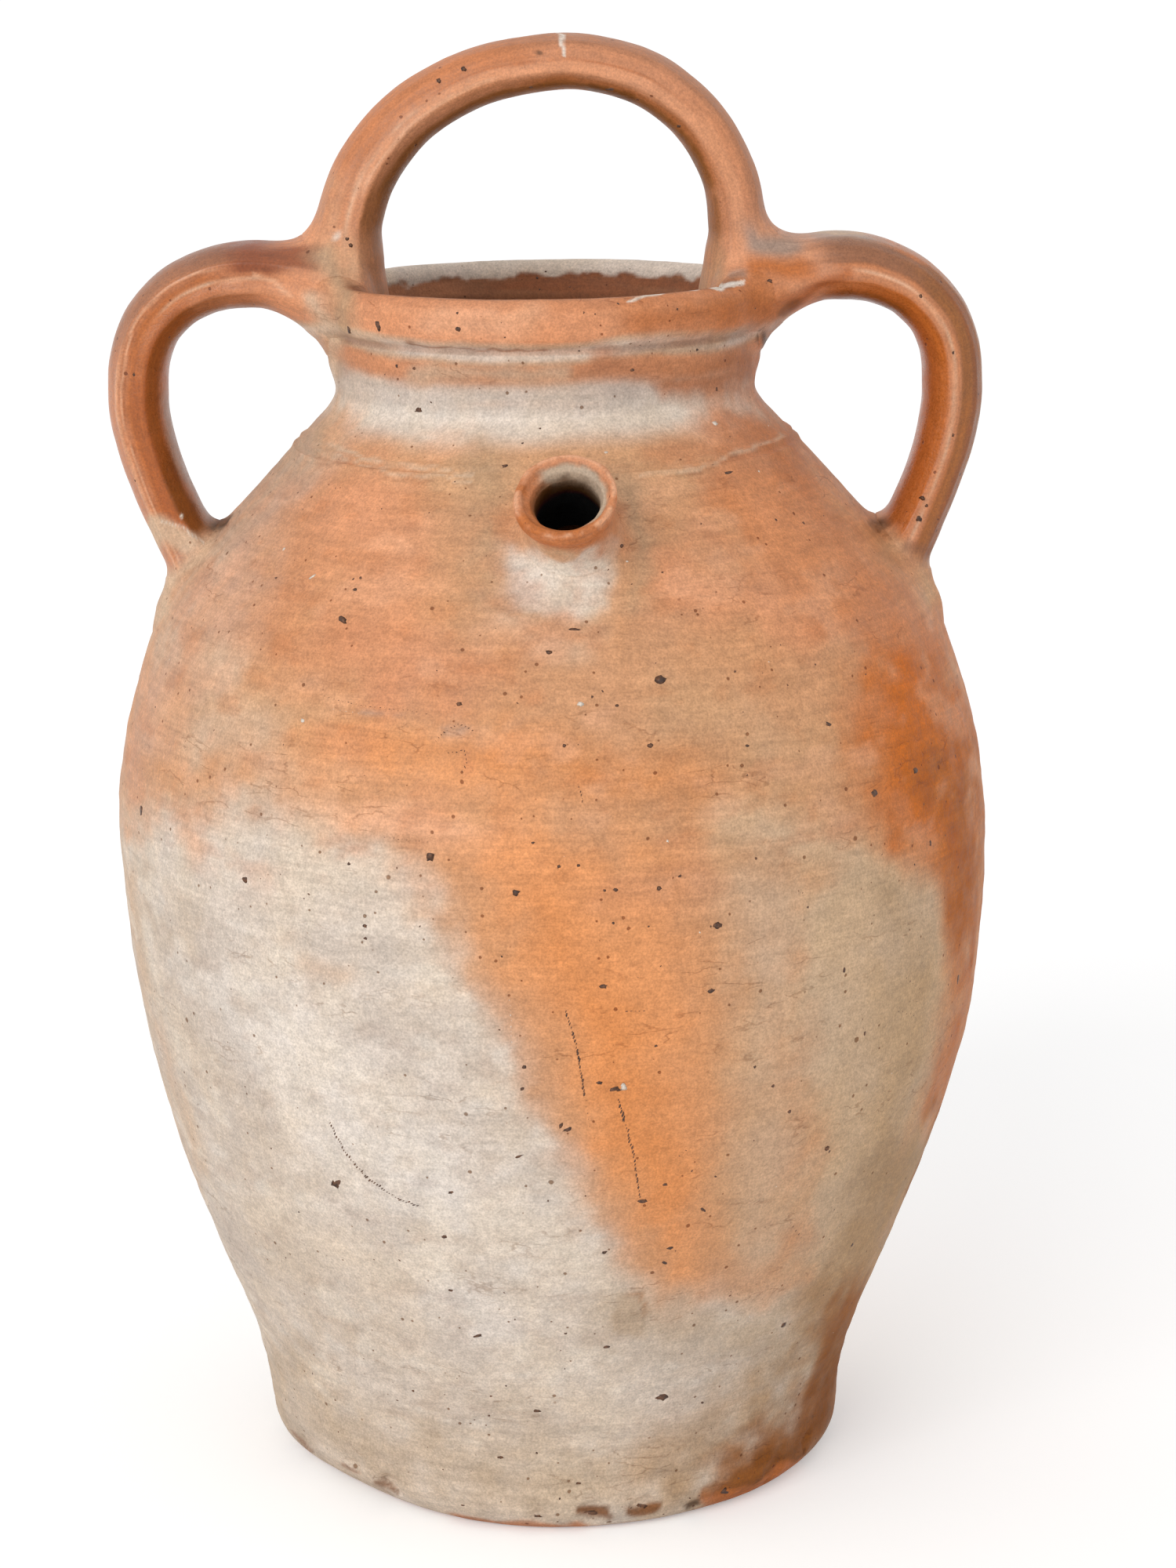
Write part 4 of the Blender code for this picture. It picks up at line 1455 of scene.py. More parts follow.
    (Tone.BARK, (738, 1930, 774, 1930), 6, 8, 0.85),
    (Tone.BARK, (806, 1926, 834, 1918), 7, 8, 0.85),
    (Tone.SOOT_AND_SHADE, (880, 1923, 890, 1920), 4, 5, 0.8),
    (Tone.UMBER, (900, 1906, 930, 1892, 975, 1872), 7, 12, 0.7),
    (Tone.BARK, (484, 1893, 502, 1907), 4, 6, 0.7),
    (Tone.DUSK, (372, 1828, 394, 1850), 3, 6, 0.6),
    (Tone.DUSK, (436, 1868, 458, 1874), 3, 5, 0.6),
    # Round the spout
    (Tone.SAND, (636, 690, 770, 700, 790, 745, 778, 796, 700, 812, 626, 780), 0, 42, 0.75, 0.3),
    (Tone.CREAM, (652, 690, 712, 700, 780, 694, 786, 740, 782, 768, 742, 790, 696, 784, 654, 762,
     650, 726), 0, 22, 0.90, 0.26),
    (Tone.SNOW, (684, 726, 744, 726, 756, 756), 20, 40, 0.65, 0.26),
    (Tone.SAND, (690, 818, 750, 820), 18, 60, 0.65, 0.3),
    (Tone.ASH_AND_SHADE, (640, 776, 700, 796, 748, 799), 3, 12, 0.7, 0.3),
    (Tone.BRICK, (779, 660, 776, 712), 5, 16, 0.6, 0.3),
    (Tone.WHEAT, (690, 700, 742, 700, 734, 714, 720, 722, 704, 714), 0, 8, 0.8, 0.3),
    # Neck and rim
    (Tone.APRICOT, (455, 468, 540, 478), 9, 26, 0.9, 0.45),
    (Tone.SAND, (530, 478, 640, 484, 720, 484), 9, 26, 0.85, 0.35),
    (Tone.CLAY, (780, 474, 860, 470, 950, 458), 14, 36, 0.9, 0.45),
    (Tone.CLAY, (846, 490, 900, 486, 952, 476), 13, 26, 0.9, 0.45),
    (Tone.BRICK, (850, 476, 920, 466, 955, 460), 6, 24, 0.5, 0.45),
    (Tone.CLAY, (900, 500, 930, 500, 965, 510), 14, 60, 0.9, 0.42),
    (Tone.CLAY, (840, 575, 900, 560), 10, 40, 0.6, 0.42),
    (Tone.WHEAT, (430, 500, 434, 530, 410, 560), 10, 30, 0.7, 0.28),
    (Tone.PEACH, (560, 405, 660, 416), 16, 50, 0.7, 0.45),
    (Tone.CLAY, (640, 392, 800, 395), 7, 20, 0.6, 0.45),
    (Tone.BRICK, (840, 405, 965, 385), 24, 60, 0.85, 0.45),
    (Tone.SAND, (425, 425, 500, 440), 8, 22, 0.85, 0.3),
    (Tone.SAND, (850, 443, 915, 432), 5, 14, 0.8, 0.3),
    # Painted shade: a thin dark line in the groove under the rim band.
    (Tone.DUSK, (480, 430, 600, 444, 700, 446), 0.8, 2.5, 0.8),
    # The two ridges on the shoulder, with a painted highlight on their crests and painted shade under them
    (Tone.SAND, (405, 566, 500, 592, 600, 604), 2.0, 5, 0.8),
    (Tone.SAND, (402, 576, 500, 602, 600, 612), 1.8, 5, 0.7),
    (Tone.DUSK, (402, 583, 500, 608, 600, 617), 0.8, 4, 0.5),
    (Tone.SAND, (817, 607, 890, 597, 1000, 557), 1.8, 5, 0.7),
    (Tone.DUSK, (817, 612, 890, 602, 1000, 563), 0.8, 4, 0.5),
    # Round the handles' roots and landings
    (Tone.LIVER, (290, 336, 340, 338, 388, 332), 18, 16, 0.85, 0.5),
    (Tone.ASH_AND_SHADE, (404, 330, 424, 370, 434, 410), 18, 34, 0.85, 0.32),
    (Tone.SAND, (385, 388, 412, 415, 428, 470), 10, 22, 0.85, 0.28),
    # Painted highlight along the crest of the left ear's root.
    (Tone.APRICOT, (330, 352, 365, 372, 385, 388), 5, 10, 0.8, 0.5),
    (Tone.WHEAT, (434, 280, 446, 340), 13, 34, 0.8, 0.4),
    (Tone.CLAY, (462, 340, 480, 385), 8, 26, 0.6, 0.4),
    (Tone.MAUVE, (960, 288, 970, 318, 1010, 312), 17, 30, 0.95, 0.32),
    (Tone.WHEAT, (912, 250, 918, 350), 8, 18, 0.8, 0.35),
    (Tone.MAUVE, (930, 346, 946, 346), 7, 10, 0.8, 0.35),
    (Tone.RUST, (962, 346, 1016, 346), 14, 26, 0.8, 0.5),
    (Tone.BRICK, (945, 390, 985, 400), 20, 40, 0.8, 0.4),
    (Tone.SAND, (200, 694, 226, 712, 214, 770), 14, 30, 0.85, 0.3),
    (Tone.SAND, (208, 692, 262, 692), 8, 12, 0.8, 0.3),
    (Tone.WHEAT, (1150, 690, 1186, 706, 1184, 750), 14, 36, 0.85, 0.3),
    # Painted shade in the crease between the left ear's landing and the shoulder.
    (Tone.SOOT_AND_SHADE, (256, 648, 266, 668, 288, 664), 8, 12, 0.9),
    # Painted shade round the right ear's landing, darkest in the crease under it.
    (Tone.UMBER, (1110, 668, 1140, 680), 6, 24, 0.4),
    (Tone.SOOT_AND_SHADE, (1114, 672, 1132, 664), 7, 12, 0.9),
    # Scuffs
    (Tone.MAUVE, (455, 906, 514, 912), 3, 6, 0.6, 0.5),
    (Tone.MAUVE, (566, 932, 590, 930), 7, 9, 0.6, 0.45),
    (Tone.CLAY, (588, 956, 596, 985), 4, 6, 0.5),
)
RIM_MARKS: tuple[Flash, ...] = rows(
    Flash,
    (Tone.SNOW, (800, 379, 905, 367, 950, 357), 1.4, 2.6, 0.9, 0.2),
    (Tone.SNOW, (904, 365, 930, 361, 948, 361), 3.2, 4, 0.85, 0.2),
    # Painted shade in the gap under the right ear's root.
    (Tone.SOOT_AND_SHADE, (970, 428, 978, 442), 5, 7, 0.9),
)
CLOUDS: tuple[Cloud, ...] = rows(
    Cloud,
    (Tone.STONE, 0.020, 0.220, 0.022, 0.10, 0.75, 0.45, True),
    (Tone.MAUVE, 0.000, 0.220, 0.008, 0.20, 0.75, 0.20, True),
    (Tone.SNOW, 0.020, 0.220, 0.011, 0.15, 0.80, 0.40, True),
    (Tone.CLAY, 0.200, 0.330, 0.024, 0.15, 0.80, 0.35),
    (Tone.PEACH, 0.205, 0.350, 0.016, 0.20, 0.80, 0.35),
    (Tone.BRICK, 0.205, 0.340, 0.009, 0.30, 0.80, 0.20),
)
BAIL_STRIPES: tuple[Stripe, ...] = rows(
    Stripe,
    (Tone.CLAY, (-1.0, 2.0)),
    (Tone.BRICK, (-1.0, 0.40), (0.20, 0.50), 0.6),
    (Tone.DUSK, (-1.0, 0.20), (0.45, 0.90), 0.4),
    (Tone.DUSK, (-1.0, 0.36), (0.88, 2.0), 0.75),
    (Tone.WHEAT, (-1.0, 0.40), (-1.0, 0.14), 0.5),
    (Tone.PEACH, (0.46, 0.56), (0.04, 0.26), 0.8, 0.07),
    (Tone.APRICOT, (0.48, 0.72), (0.22, 0.72), 0.8),
    (Tone.PEACH, (0.60, 0.65), (0.20, 0.42), 0.8, 0.05),
    (Tone.SAND, (0.500, 0.515), (0.06, 0.30), 0.6, 0.03),
    (Tone.CINNAMON, (0.42, 0.46), (0.30, 0.70), 0.5, 0.05),
    (Tone.APRICOT, (0.38, 0.60), (0.70, 0.94), 0.85),
    (Tone.CLAY, (0.70, 0.84), (0.30, 0.55), 0.7),
    (Tone.BRICK, (0.74, 0.88), (0.45, 0.74), 0.8),
    # The dark inner face: partly the clay's iron, partly painted shade under the arch.
    (Tone.UMBER, (0.84, 0.99), (0.16, 0.76), 0.9),
    (Tone.UMBER, (0.70, 0.99), (-1.0, 0.22), 0.7),
    (Tone.UMBER, (0.80, 2.0), (0.74, 0.90), 0.7),
    (Tone.WHEAT, (0.70, 2.0), (0.90, 2.0), 0.85),
)
LEFT_EAR_STRIPES: tuple[Stripe, ...] = rows(
    Stripe,
    (Tone.CLAY, (-1.0, 2.0)),
    (Tone.CINNAMON, (-1.0, 2.0), (-1.0, 2.0), 0.30),
    (Tone.LIVER, (-1.0, 0.42), (-1.0, 0.30), 0.9, 0.10),
    (Tone.DUSK, (-1.0, 0.26), (0.24, 0.50), 0.65),
    (Tone.PEACH, (0.47, 0.54), (0.04, 0.44), 0.8, 0.06),
    (Tone.CLAY, (0.54, 0.80), (-1.0, 0.44), 0.6),
    (Tone.RUST, (0.38, 0.66), (0.32, 0.95), 0.7),
    (Tone.CINNAMON, (0.44, 0.66), (0.50, 0.95), 0.75),
    # Painted highlight on the outer face.
    (Tone.PEACH, (0.20, 0.26), (0.50, 0.95), 0.6, 0.06),
    # The dark inner face: partly the clay's iron, partly painted shade inside the loop.
    (Tone.CINNAMON, (0.62, 0.90), (0.34, 0.80), 0.9),
    (Tone.BARK, (0.70, 0.92), (0.26, 0.74), 0.45),
    (Tone.BARK, (0.66, 0.92), (0.72, 0.97), 0.85),
    (Tone.PEACH, (0.30, 0.325), (0.30, 0.97), 0.85, 0.035),
    (Tone.CINNAMON, (0.335, 0.36), (0.34, 0.95), 0.6, 0.04),
    (Tone.SAND, (0.500, 0.515), (0.06, 0.40), 0.7, 0.03),
    (Tone.UMBER, (0.88, 2.0), (0.05, 0.50), 0.8),
    # Painted reflection: a pale line along the inner edge.
    (Tone.MAUVE, (0.94, 2.0), (0.60, 0.94), 0.7),
    (Tone.SAND, (-1.0, 0.28), (0.92, 2.0), 0.8),
)
RIGHT_EAR_STRIPES: tuple[Stripe, ...] = rows(
    Stripe,
    (Tone.BRICK, (-1.0, 2.0)),
    (Tone.MAUVE, (-1.0, 0.12), (-1.0, 0.30), 0.9, 0.08),
    (Tone.DUSK, (0.08, 0.40), (0.08, 0.60), 0.9),
    (Tone.UMBER, (-1.0, 0.38), (0.36, 1.10), 0.8),
    (Tone.LIVER, (0.06, 0.20), (0.40, 0.95), 0.4, 0.06),
    (Tone.CLAY, (0.40, 0.62), (0.08, 0.92), 0.8),
    (Tone.PEACH, (0.47, 0.53), (0.16, 0.90), 0.6, 0.05),
    (Tone.RUST, (0.62, 0.78), (0.30, 1.00), 0.7),
    (Tone.SAND, (0.495, 0.510), (0.20, 0.84), 0.6, 0.03),
    # The dark inner face: partly the clay's iron, partly painted shade inside the loop.
    (Tone.CINNAMON, (0.76, 0.98), (-1.0, 0.98), 0.70),
    (Tone.BARK, (0.82, 0.98), (0.10, 0.40), 0.7),
    (Tone.CLAY, (0.66, 0.86), (0.93, 2.0), 0.8),
)
HANDLE_MARKS: tuple[Flash, ...] = rows(
    Flash,
    (Tone.SNOW, (712, 42, 717, 55, 722, 70), 2.4, 3, 0.9, 0.3),
    (Tone.SOOT_AND_SHADE, (690, 65), 4, 5, 0.8),
    (Tone.SNOW, (428, 300), 4, 8, 0.7),
    # Painted highlight along the crest of the left ear's root.
    (Tone.PEACH, (320, 352, 348, 358, 368, 376), 2.2, 4, 0.9, 0.5),
    (Tone.CLAY, (340, 372, 372, 384), 4, 8, 0.6, 0.5),
    (Tone.SAND, (1030, 290, 1060, 294, 1100, 300), 3, 6, 0.7, 0.3),
    (Tone.CINNAMON, (1008, 390, 1036, 366, 1075, 352), 7, 14, 0.8, 0.4),
    (Tone.BARK, (1000, 400, 1018, 382), 4, 8, 0.7),
    (Tone.BARK, (755, 112, 805, 124), 4, 10, 0.6),
    (Tone.SNOW, (232, 658), 2.5, 3, 0.9),
    (Tone.SAND, (190, 690, 222, 686, 244, 700), 16, 14, 0.9, 0.3),
    (Tone.SNOW, (206, 667, 232, 671, 262, 688), 1.4, 3, 0.7, 0.3),
    (Tone.DUSK, (1160, 700, 1180, 712), 8, 18, 0.6, 0.3),
    # Painted shade in the gap under the right ear's root.
    (Tone.SOOT_AND_SHADE, (975, 428, 981, 443), 4, 6, 0.9),
)


class Painter:
    """Lays the fired colours on the skins."""

    def __init__(self, view: PhotoView, lean: Lean, noise: ClayNoise) -> None:
        """Remember what the colours are placed by."""
        self.view = view
        self.lean = lean
        self.noise = noise
        self.palette = Palette()

    @staticmethod
    def _tint(colours: Array, mask: Array, tone: Tone) -> None:
        """Lay a tone over colours, in place."""
        colours += mask[:, None] * (linear(tone.value) - colours)

    def _pixels(self, points: Array) -> tuple[Array, Array]:
        """Where points appear in the photograph.

        Args:
            points: Places in space.

        Returns:
            Places with the wander of a flame, fresh behind the pot, and nearly true ones.
        """
        true = self.view.pixels(points)
        palette = self.palette
        behind = eased(points[:, 1], *palette.back_zone)
        broad, fine = true.copy(), true.copy()
        for axis in range(2):
            shift = np.full(3, 0.4 + 0.9 * axis)
            warp = self.noise.at(points + shift, palette.flash_warp_cell, 3)
            back_warp = self.noise.at(points - shift, palette.back_warp_cell, 2)
            broad[:, axis] += palette.flash_warp_px * warp
            broad[:, axis] += palette.back_warp_px * behind * back_warp
            fine[:, axis] += palette.fine_warp_px * self.noise.at(points + shift, palette.fine_warp_cell, 2)
        return broad, fine

    @staticmethod
    def _roughened(mask: Array, ragged: Array) -> Array:
        """A mask whose soft edge is broken up by noise."""
        return np.clip(mask + 4.0 * mask * (1.0 - mask) * ragged, 0.0, 1.0)

    def _fire(self, colours: Array, gloss: Array, mask: Array, mark: Flash | Ring) -> None:
        """Lay one mark's tone and gloss, in place."""
        self._tint(colours, mask, mark.tone)
        if mark.gloss is not None:
            gloss += mask * (mark.gloss - gloss)

    def _lay(self, points: Array, colours: Array, gloss: Array, flashes: Sequence[Flash]) -> None:
        """Lay patches over colours and gloss, in place.

        Args:
            points: Places in space.
            colours: Linear colours, one per place.
            gloss: Gloss, one per place.
            flashes: The patches, lowest first.
        """
        broad, fine = self._pixels(points)
        palette = self.palette
        ragged = palette.raggedness * self.noise.at(points + 0.2, palette.ragged_cell, 4)
        front = eased(points[:, 1], *palette.front_zone)
        for flash in flashes:
            mask = flash.mask(broad if flash.soft_px > palette.fine_below_px else fine)
            if flash.soft_px < palette.front_only_px:
                mask = mask * front
            self._fire(colours, gloss, self._roughened(mask, ragged) * flash.strength, flash)

    def fired(self, points: Array) -> tuple[Array, Array]:
        """The colours and gloss that the fire gave the outside at any places in space."""
        palette = self.palette
        height = self.lean.straighten(points)[:, 2]
        colours = np.tile(linear(palette.ground.value), (len(points), 1))
        gloss = np.full(len(points), palette.ground_gloss)
        wander = palette.ring_wander * self.noise.at(points, 0.030, 3)
        for ring in RINGS:
            self._fire(colours, gloss, ring.mask(height + wander) * ring.strength, ring)
        self._lay(points, colours, gloss, FLASHES)
        for number, cloud in enumerate(CLOUDS):
            band = eased(height, cloud.low, cloud.low + 0.02) * eased(height, cloud.high, cloud.high - 0.02)
            patches = self.noise.at(points + 1.7 * number, (cloud.cell, cloud.cell, 0.6 * cloud.cell), 4)
            if cloud.pale_only:
                band *= eased(colours[:, 2], 0.30, 0.44)
            self._tint(colours, cloud.strength * band * eased(patches, cloud.start, cloud.full), cloud.tone)
        return colours, gloss

    def _store(self, skin: ClaySkin, colours: Array, gloss: Array, way: Array) -> None:
        """Store colours without what the surface mirrors by itself."""
        skin.paint(np.clip(colours - self.palette.mirrored, 0.003, 1.0), gloss, way)

    def paint_jar(self, jar: ThrownJar, bail: PulledStrap, spout: LutedSpout) -> None:
        """Colour the thrown jar, inside and out.

        Args:
            jar: The jar.
            bail: The bail, whose slip carries the outside's colours over the rim.
            spout: The spout, behind which the hole's wall is painted dark as shade.
        """
        points = jar.skin.points
        upright = self.lean.straighten(points)
        palette = self.palette
        colours, gloss = self.fired(points)
        inner = np.tile(linear(palette.inside_top.value), (len(points), 1))
        # Painted shade: the inside darkens to near black towards the bottom.
        self._tint(inner, eased(upright[:, 2], *palette.inside_fade), palette.inside_deep_shade)
        streaks = self.noise.at(points, palette.streak_cell, 3)
        self._tint(inner, palette.streak_strength * eased(streaks, 0.0, 0.7), Tone.CLAY)
        self._tint(inner, palette.streak_strength * eased(streaks, -0.1, -0.8), Tone.LIVER)
        ragged = 0.0016 * self.noise.at(points, 0.0060, 3) + 0.0010 * self.noise.at(points + 0.5, 0.020)
        back = eased(points[:, 1], 0.0, 0.030)
        lip = eased(upright[:, 2] + ragged, *palette.inside_lip_zone)
        self._tint(inner, lip * back, palette.inside_lip)
        inside = jar.inside(upright) * eased(bail.distance(upright), 0.0010, 0.0080)
        colours += inside[:, None] * (inner - colours)
        crest = eased(upright[:, 2], *palette.crest_zone) * eased(points[:, 1], 0.005, 0.040)
        self._tint(colours, 0.8 * crest, palette.inside_lip)
        self._tint(colours, eased(upright[:, 2], *palette.underside_zone), palette.underside)
        # Painted shade: the wall of the hole behind the spout is darkened to the bore's colour.
        behind = spout.local(upright)
        around = np.hypot(behind[:, 0], behind[:, 1]) - spout.bore_radius
        hole = eased(around, *palette.hole_shade_zone)
        self._tint(colours, hole * eased(points[:, 1], 0.0, -0.030), palette.bore)
        self._lay(points, colours, gloss, RIM_MARKS)
        self._store(jar.skin, colours, gloss * (1.0 - 0.5 * inside), points * palette.jar_brushing)

    def paint_spout(self, spout: LutedSpout, jar: ThrownJar) -> None:
        """Colour the spout and its bore.

        Args:
            spout: The spout.
            jar: The jar whose colours run on up its root.
        """
        points = spout.skin.points
        upright = self.lean.straighten(points)
        palette = self.palette
        colours = np.tile(linear(palette.spout_ground.value), (len(points), 1))
        gloss = np.full(len(points), palette.spout_gloss)
        local = spout.local(upright)
        radius = np.hypot(local[:, 0], local[:, 1])
        patchy = self.noise.at(points, palette.spout_patch_cell, 4)
        strength = palette.spout_patch_strength
        self._tint(colours, strength * eased(patchy, 0.1, 0.6), Tone.APRICOT)
        self._tint(colours, strength * eased(patchy, -0.1, -0.6), Tone.RUST)
        side = local[:, 0] / np.maximum(radius, 1e-6)
        up = local[:, 1] / np.maximum(radius, 1e-6)
        self._tint(colours, strength * eased(up, -0.2, -0.8), Tone.RUST)
        crest_radius = spout.crest_radius
        lip = eased(np.abs(radius - crest_radius - 0.0006), 0.0010, 0.0002)
        lip *= eased(local[:, 2], -0.003, -0.001)
        # Painted highlight: a pale line round the crest of the lip.
        self._tint(colours, 0.7 * lip * eased(patchy, -0.2, 0.3), Tone.PEACH)
        funnel = eased(radius + 0.0006 * patchy, crest_radius - 0.0006, crest_radius - 0.0018)
        self._tint(colours, strength * funnel, Tone.BRICK)
        self._tint(colours, funnel * eased(side + 0.9 * up + 0.3 * patchy, -0.55, 0.35), palette.spout_funnel)
        depth = local[:, 2] + 0.0011 * patchy
        # Darker on the upper wall of the bore, from a little below the lip inwards.
        upper_bore_dark = eased(depth, -0.0022, -0.0060) * eased(up - 0.8 * side + 0.3 * patchy, -0.2, 0.9)
        self._tint(colours, 0.75 * upper_bore_dark * funnel, Tone.SOOT_AND_SHADE)
        # Painted shade: the funnel darkens deeper in, and the bore goes to its dark colour.
        self._tint(colours, 0.8 * funnel * eased(depth, -0.0040, -0.0080), Tone.SOOT_AND_SHADE)
        self._tint(colours, funnel * eased(depth, -0.0070, -0.0130), palette.bore)
        share = eased(jar.distance(upright) + 0.0012 * patchy, *palette.spout_root_zone) * ~spout.inner
        around, _ = self.fired(points)
        colours += share[:, None] * (around - colours)
        self._store(spout.skin, colours, gloss, points * palette.spout_brushing)

    def paint_strap(self, strap: PulledStrap, joined: Array) -> None:
        """Colour a strap from its outer to its inner edge.

        Args:
            strap: The strap.
            joined: How much each vertex belongs to a joint, where the fire coloured all alike.
        """
        points = strap.skin.points
        colours = np.zeros((len(points), 3))
        gloss = np.full(len(points), strap.gloss)
        across = strap.across + 0.030 * self.noise.at(points, 0.014, 3)
        along = strap.along + 0.06 * self.noise.at(points + 0.8, 0.02, 2)
        ragged = 0.4 * self.noise.at(points + 0.2, 0.0060, 4)
        for stripe in strap.stripes:
            mask = self._roughened(stripe.mask(across, along), ragged) * stripe.strength
            self._tint(colours, mask, stripe.tone)
        around, around_gloss = self.fired(points)
        colours += joined[:, None] * (around - colours)
        gloss += joined * (around_gloss - gloss)
        self._lay(points, colours, gloss, HANDLE_MARKS)
        self._store(strap.skin, colours, gloss, strap.way())


@dataclass(frozen=True)
class Speck:
    """A spot of iron or a pale fleck, by its pixel and sized in tenths of a millimetre."""

    x_px: int
    y_px: int
    length: int
    width: int
    turn_degrees: int = 0


@dataclass(frozen=True)
class Trail:
    """A hairline made of small spots, sized and spaced in hundredths of a millimetre."""

    size: int
    gap: int
    path_px: tuple[int, ...]


class NodeSheet:
    """The node tree of a material or of the world, written from code."""

    def __init__(self, owner: bpy.types.Material | bpy.types.World, shader: str = "Principled BSDF") -> None:
        """Start on the owner's own nodes."""
        owner.use_nodes = True
        self.owner = owner
        self.tree = owner.node_tree
        self.shader = self.tree.nodes[shader]

    def feed(self, node: bpy.types.Node, inputs: Inputs) -> None:
        """Set a node's inputs to values, or link them to sockets."""
        for key, value in inputs.items():
            if isinstance(value, Socket):
                self.tree.links.new(value, node.inputs[key])
            else:
                node.inputs[key].default_value = value

    def add(self, kind: str, inputs: Inputs | None = None, **settings: object) -> bpy.types.Node:
        """Add a node.

        Args:
            kind: The node's type without its "ShaderNode" prefix.
            inputs: Values or sockets for its inputs.
            settings: Values for its properties.

        Returns:
            The node.
        """
        node = self.tree.nodes.new("ShaderNode" + kind)
        for key, value in settings.items():
            setattr(node, key, value)
        self.feed(node, inputs or {})
        return node

    def math(self, operation: str, *values: object) -> Socket:
        """Combine numbers and return the result's socket."""
        return self.add("Math", dict(enumerate(values)), operation=operation).outputs[0]

    def vector(self, operation: str, *values: object, **inputs: object) -> Socket:
        """Combine vectors and return the result's socket."""
        return self.add("VectorMath", {**dict(enumerate(values)), **inputs}, operation=operation).outputs[0]

    def ranged(self, value: Socket, start: float, end: float, low: float = 0.0, high: float = 1.0) -> Socket:
        """Map a value from one range to another, smoothly and within limits."""
        inputs = {"Value": value, "From Min": start, "From Max": end, "To Min": low, "To Max": high}
        return self.add("MapRange", inputs, interpolation_type="SMOOTHSTEP").outputs["Result"]

    def mixed(self, blend: str, share: object, first: object, second: object) -> Socket:
        """Mix two colours and return the result's socket."""
        return self.add("Mix", {0: share, 6: first, 7: second}, data_type="RGBA", blend_type=blend).outputs[2]

    def noise(self, vector: Socket, scale: float, detail: float, roughness: float = 0.55) -> Socket:
        """A noise texture's value."""
        inputs = {"Vector": vector, "Scale": scale, "Detail": detail, "Roughness": roughness}
        return self.add("TexNoise", inputs, noise_dimensions="3D").outputs[0]

    def bumped(self, height: Socket) -> Socket:
        """The surface's direction under a relief that is given in millimetres."""
        return self.add("Bump", {"Height": height, "Strength": 1.0, "Distance": MILLIMETRE}).outputs["Normal"]

    def seen(self) -> Socket:
        """Tell rays from the camera, in reflections and through glass from the rays that light."""
        path = self.add("LightPath")
        seen = path.outputs["Is Camera Ray"]
        for name in ("Is Glossy Ray", "Is Transmission Ray"):
            seen = self.math("MAXIMUM", seen, path.outputs[name])
        return seen


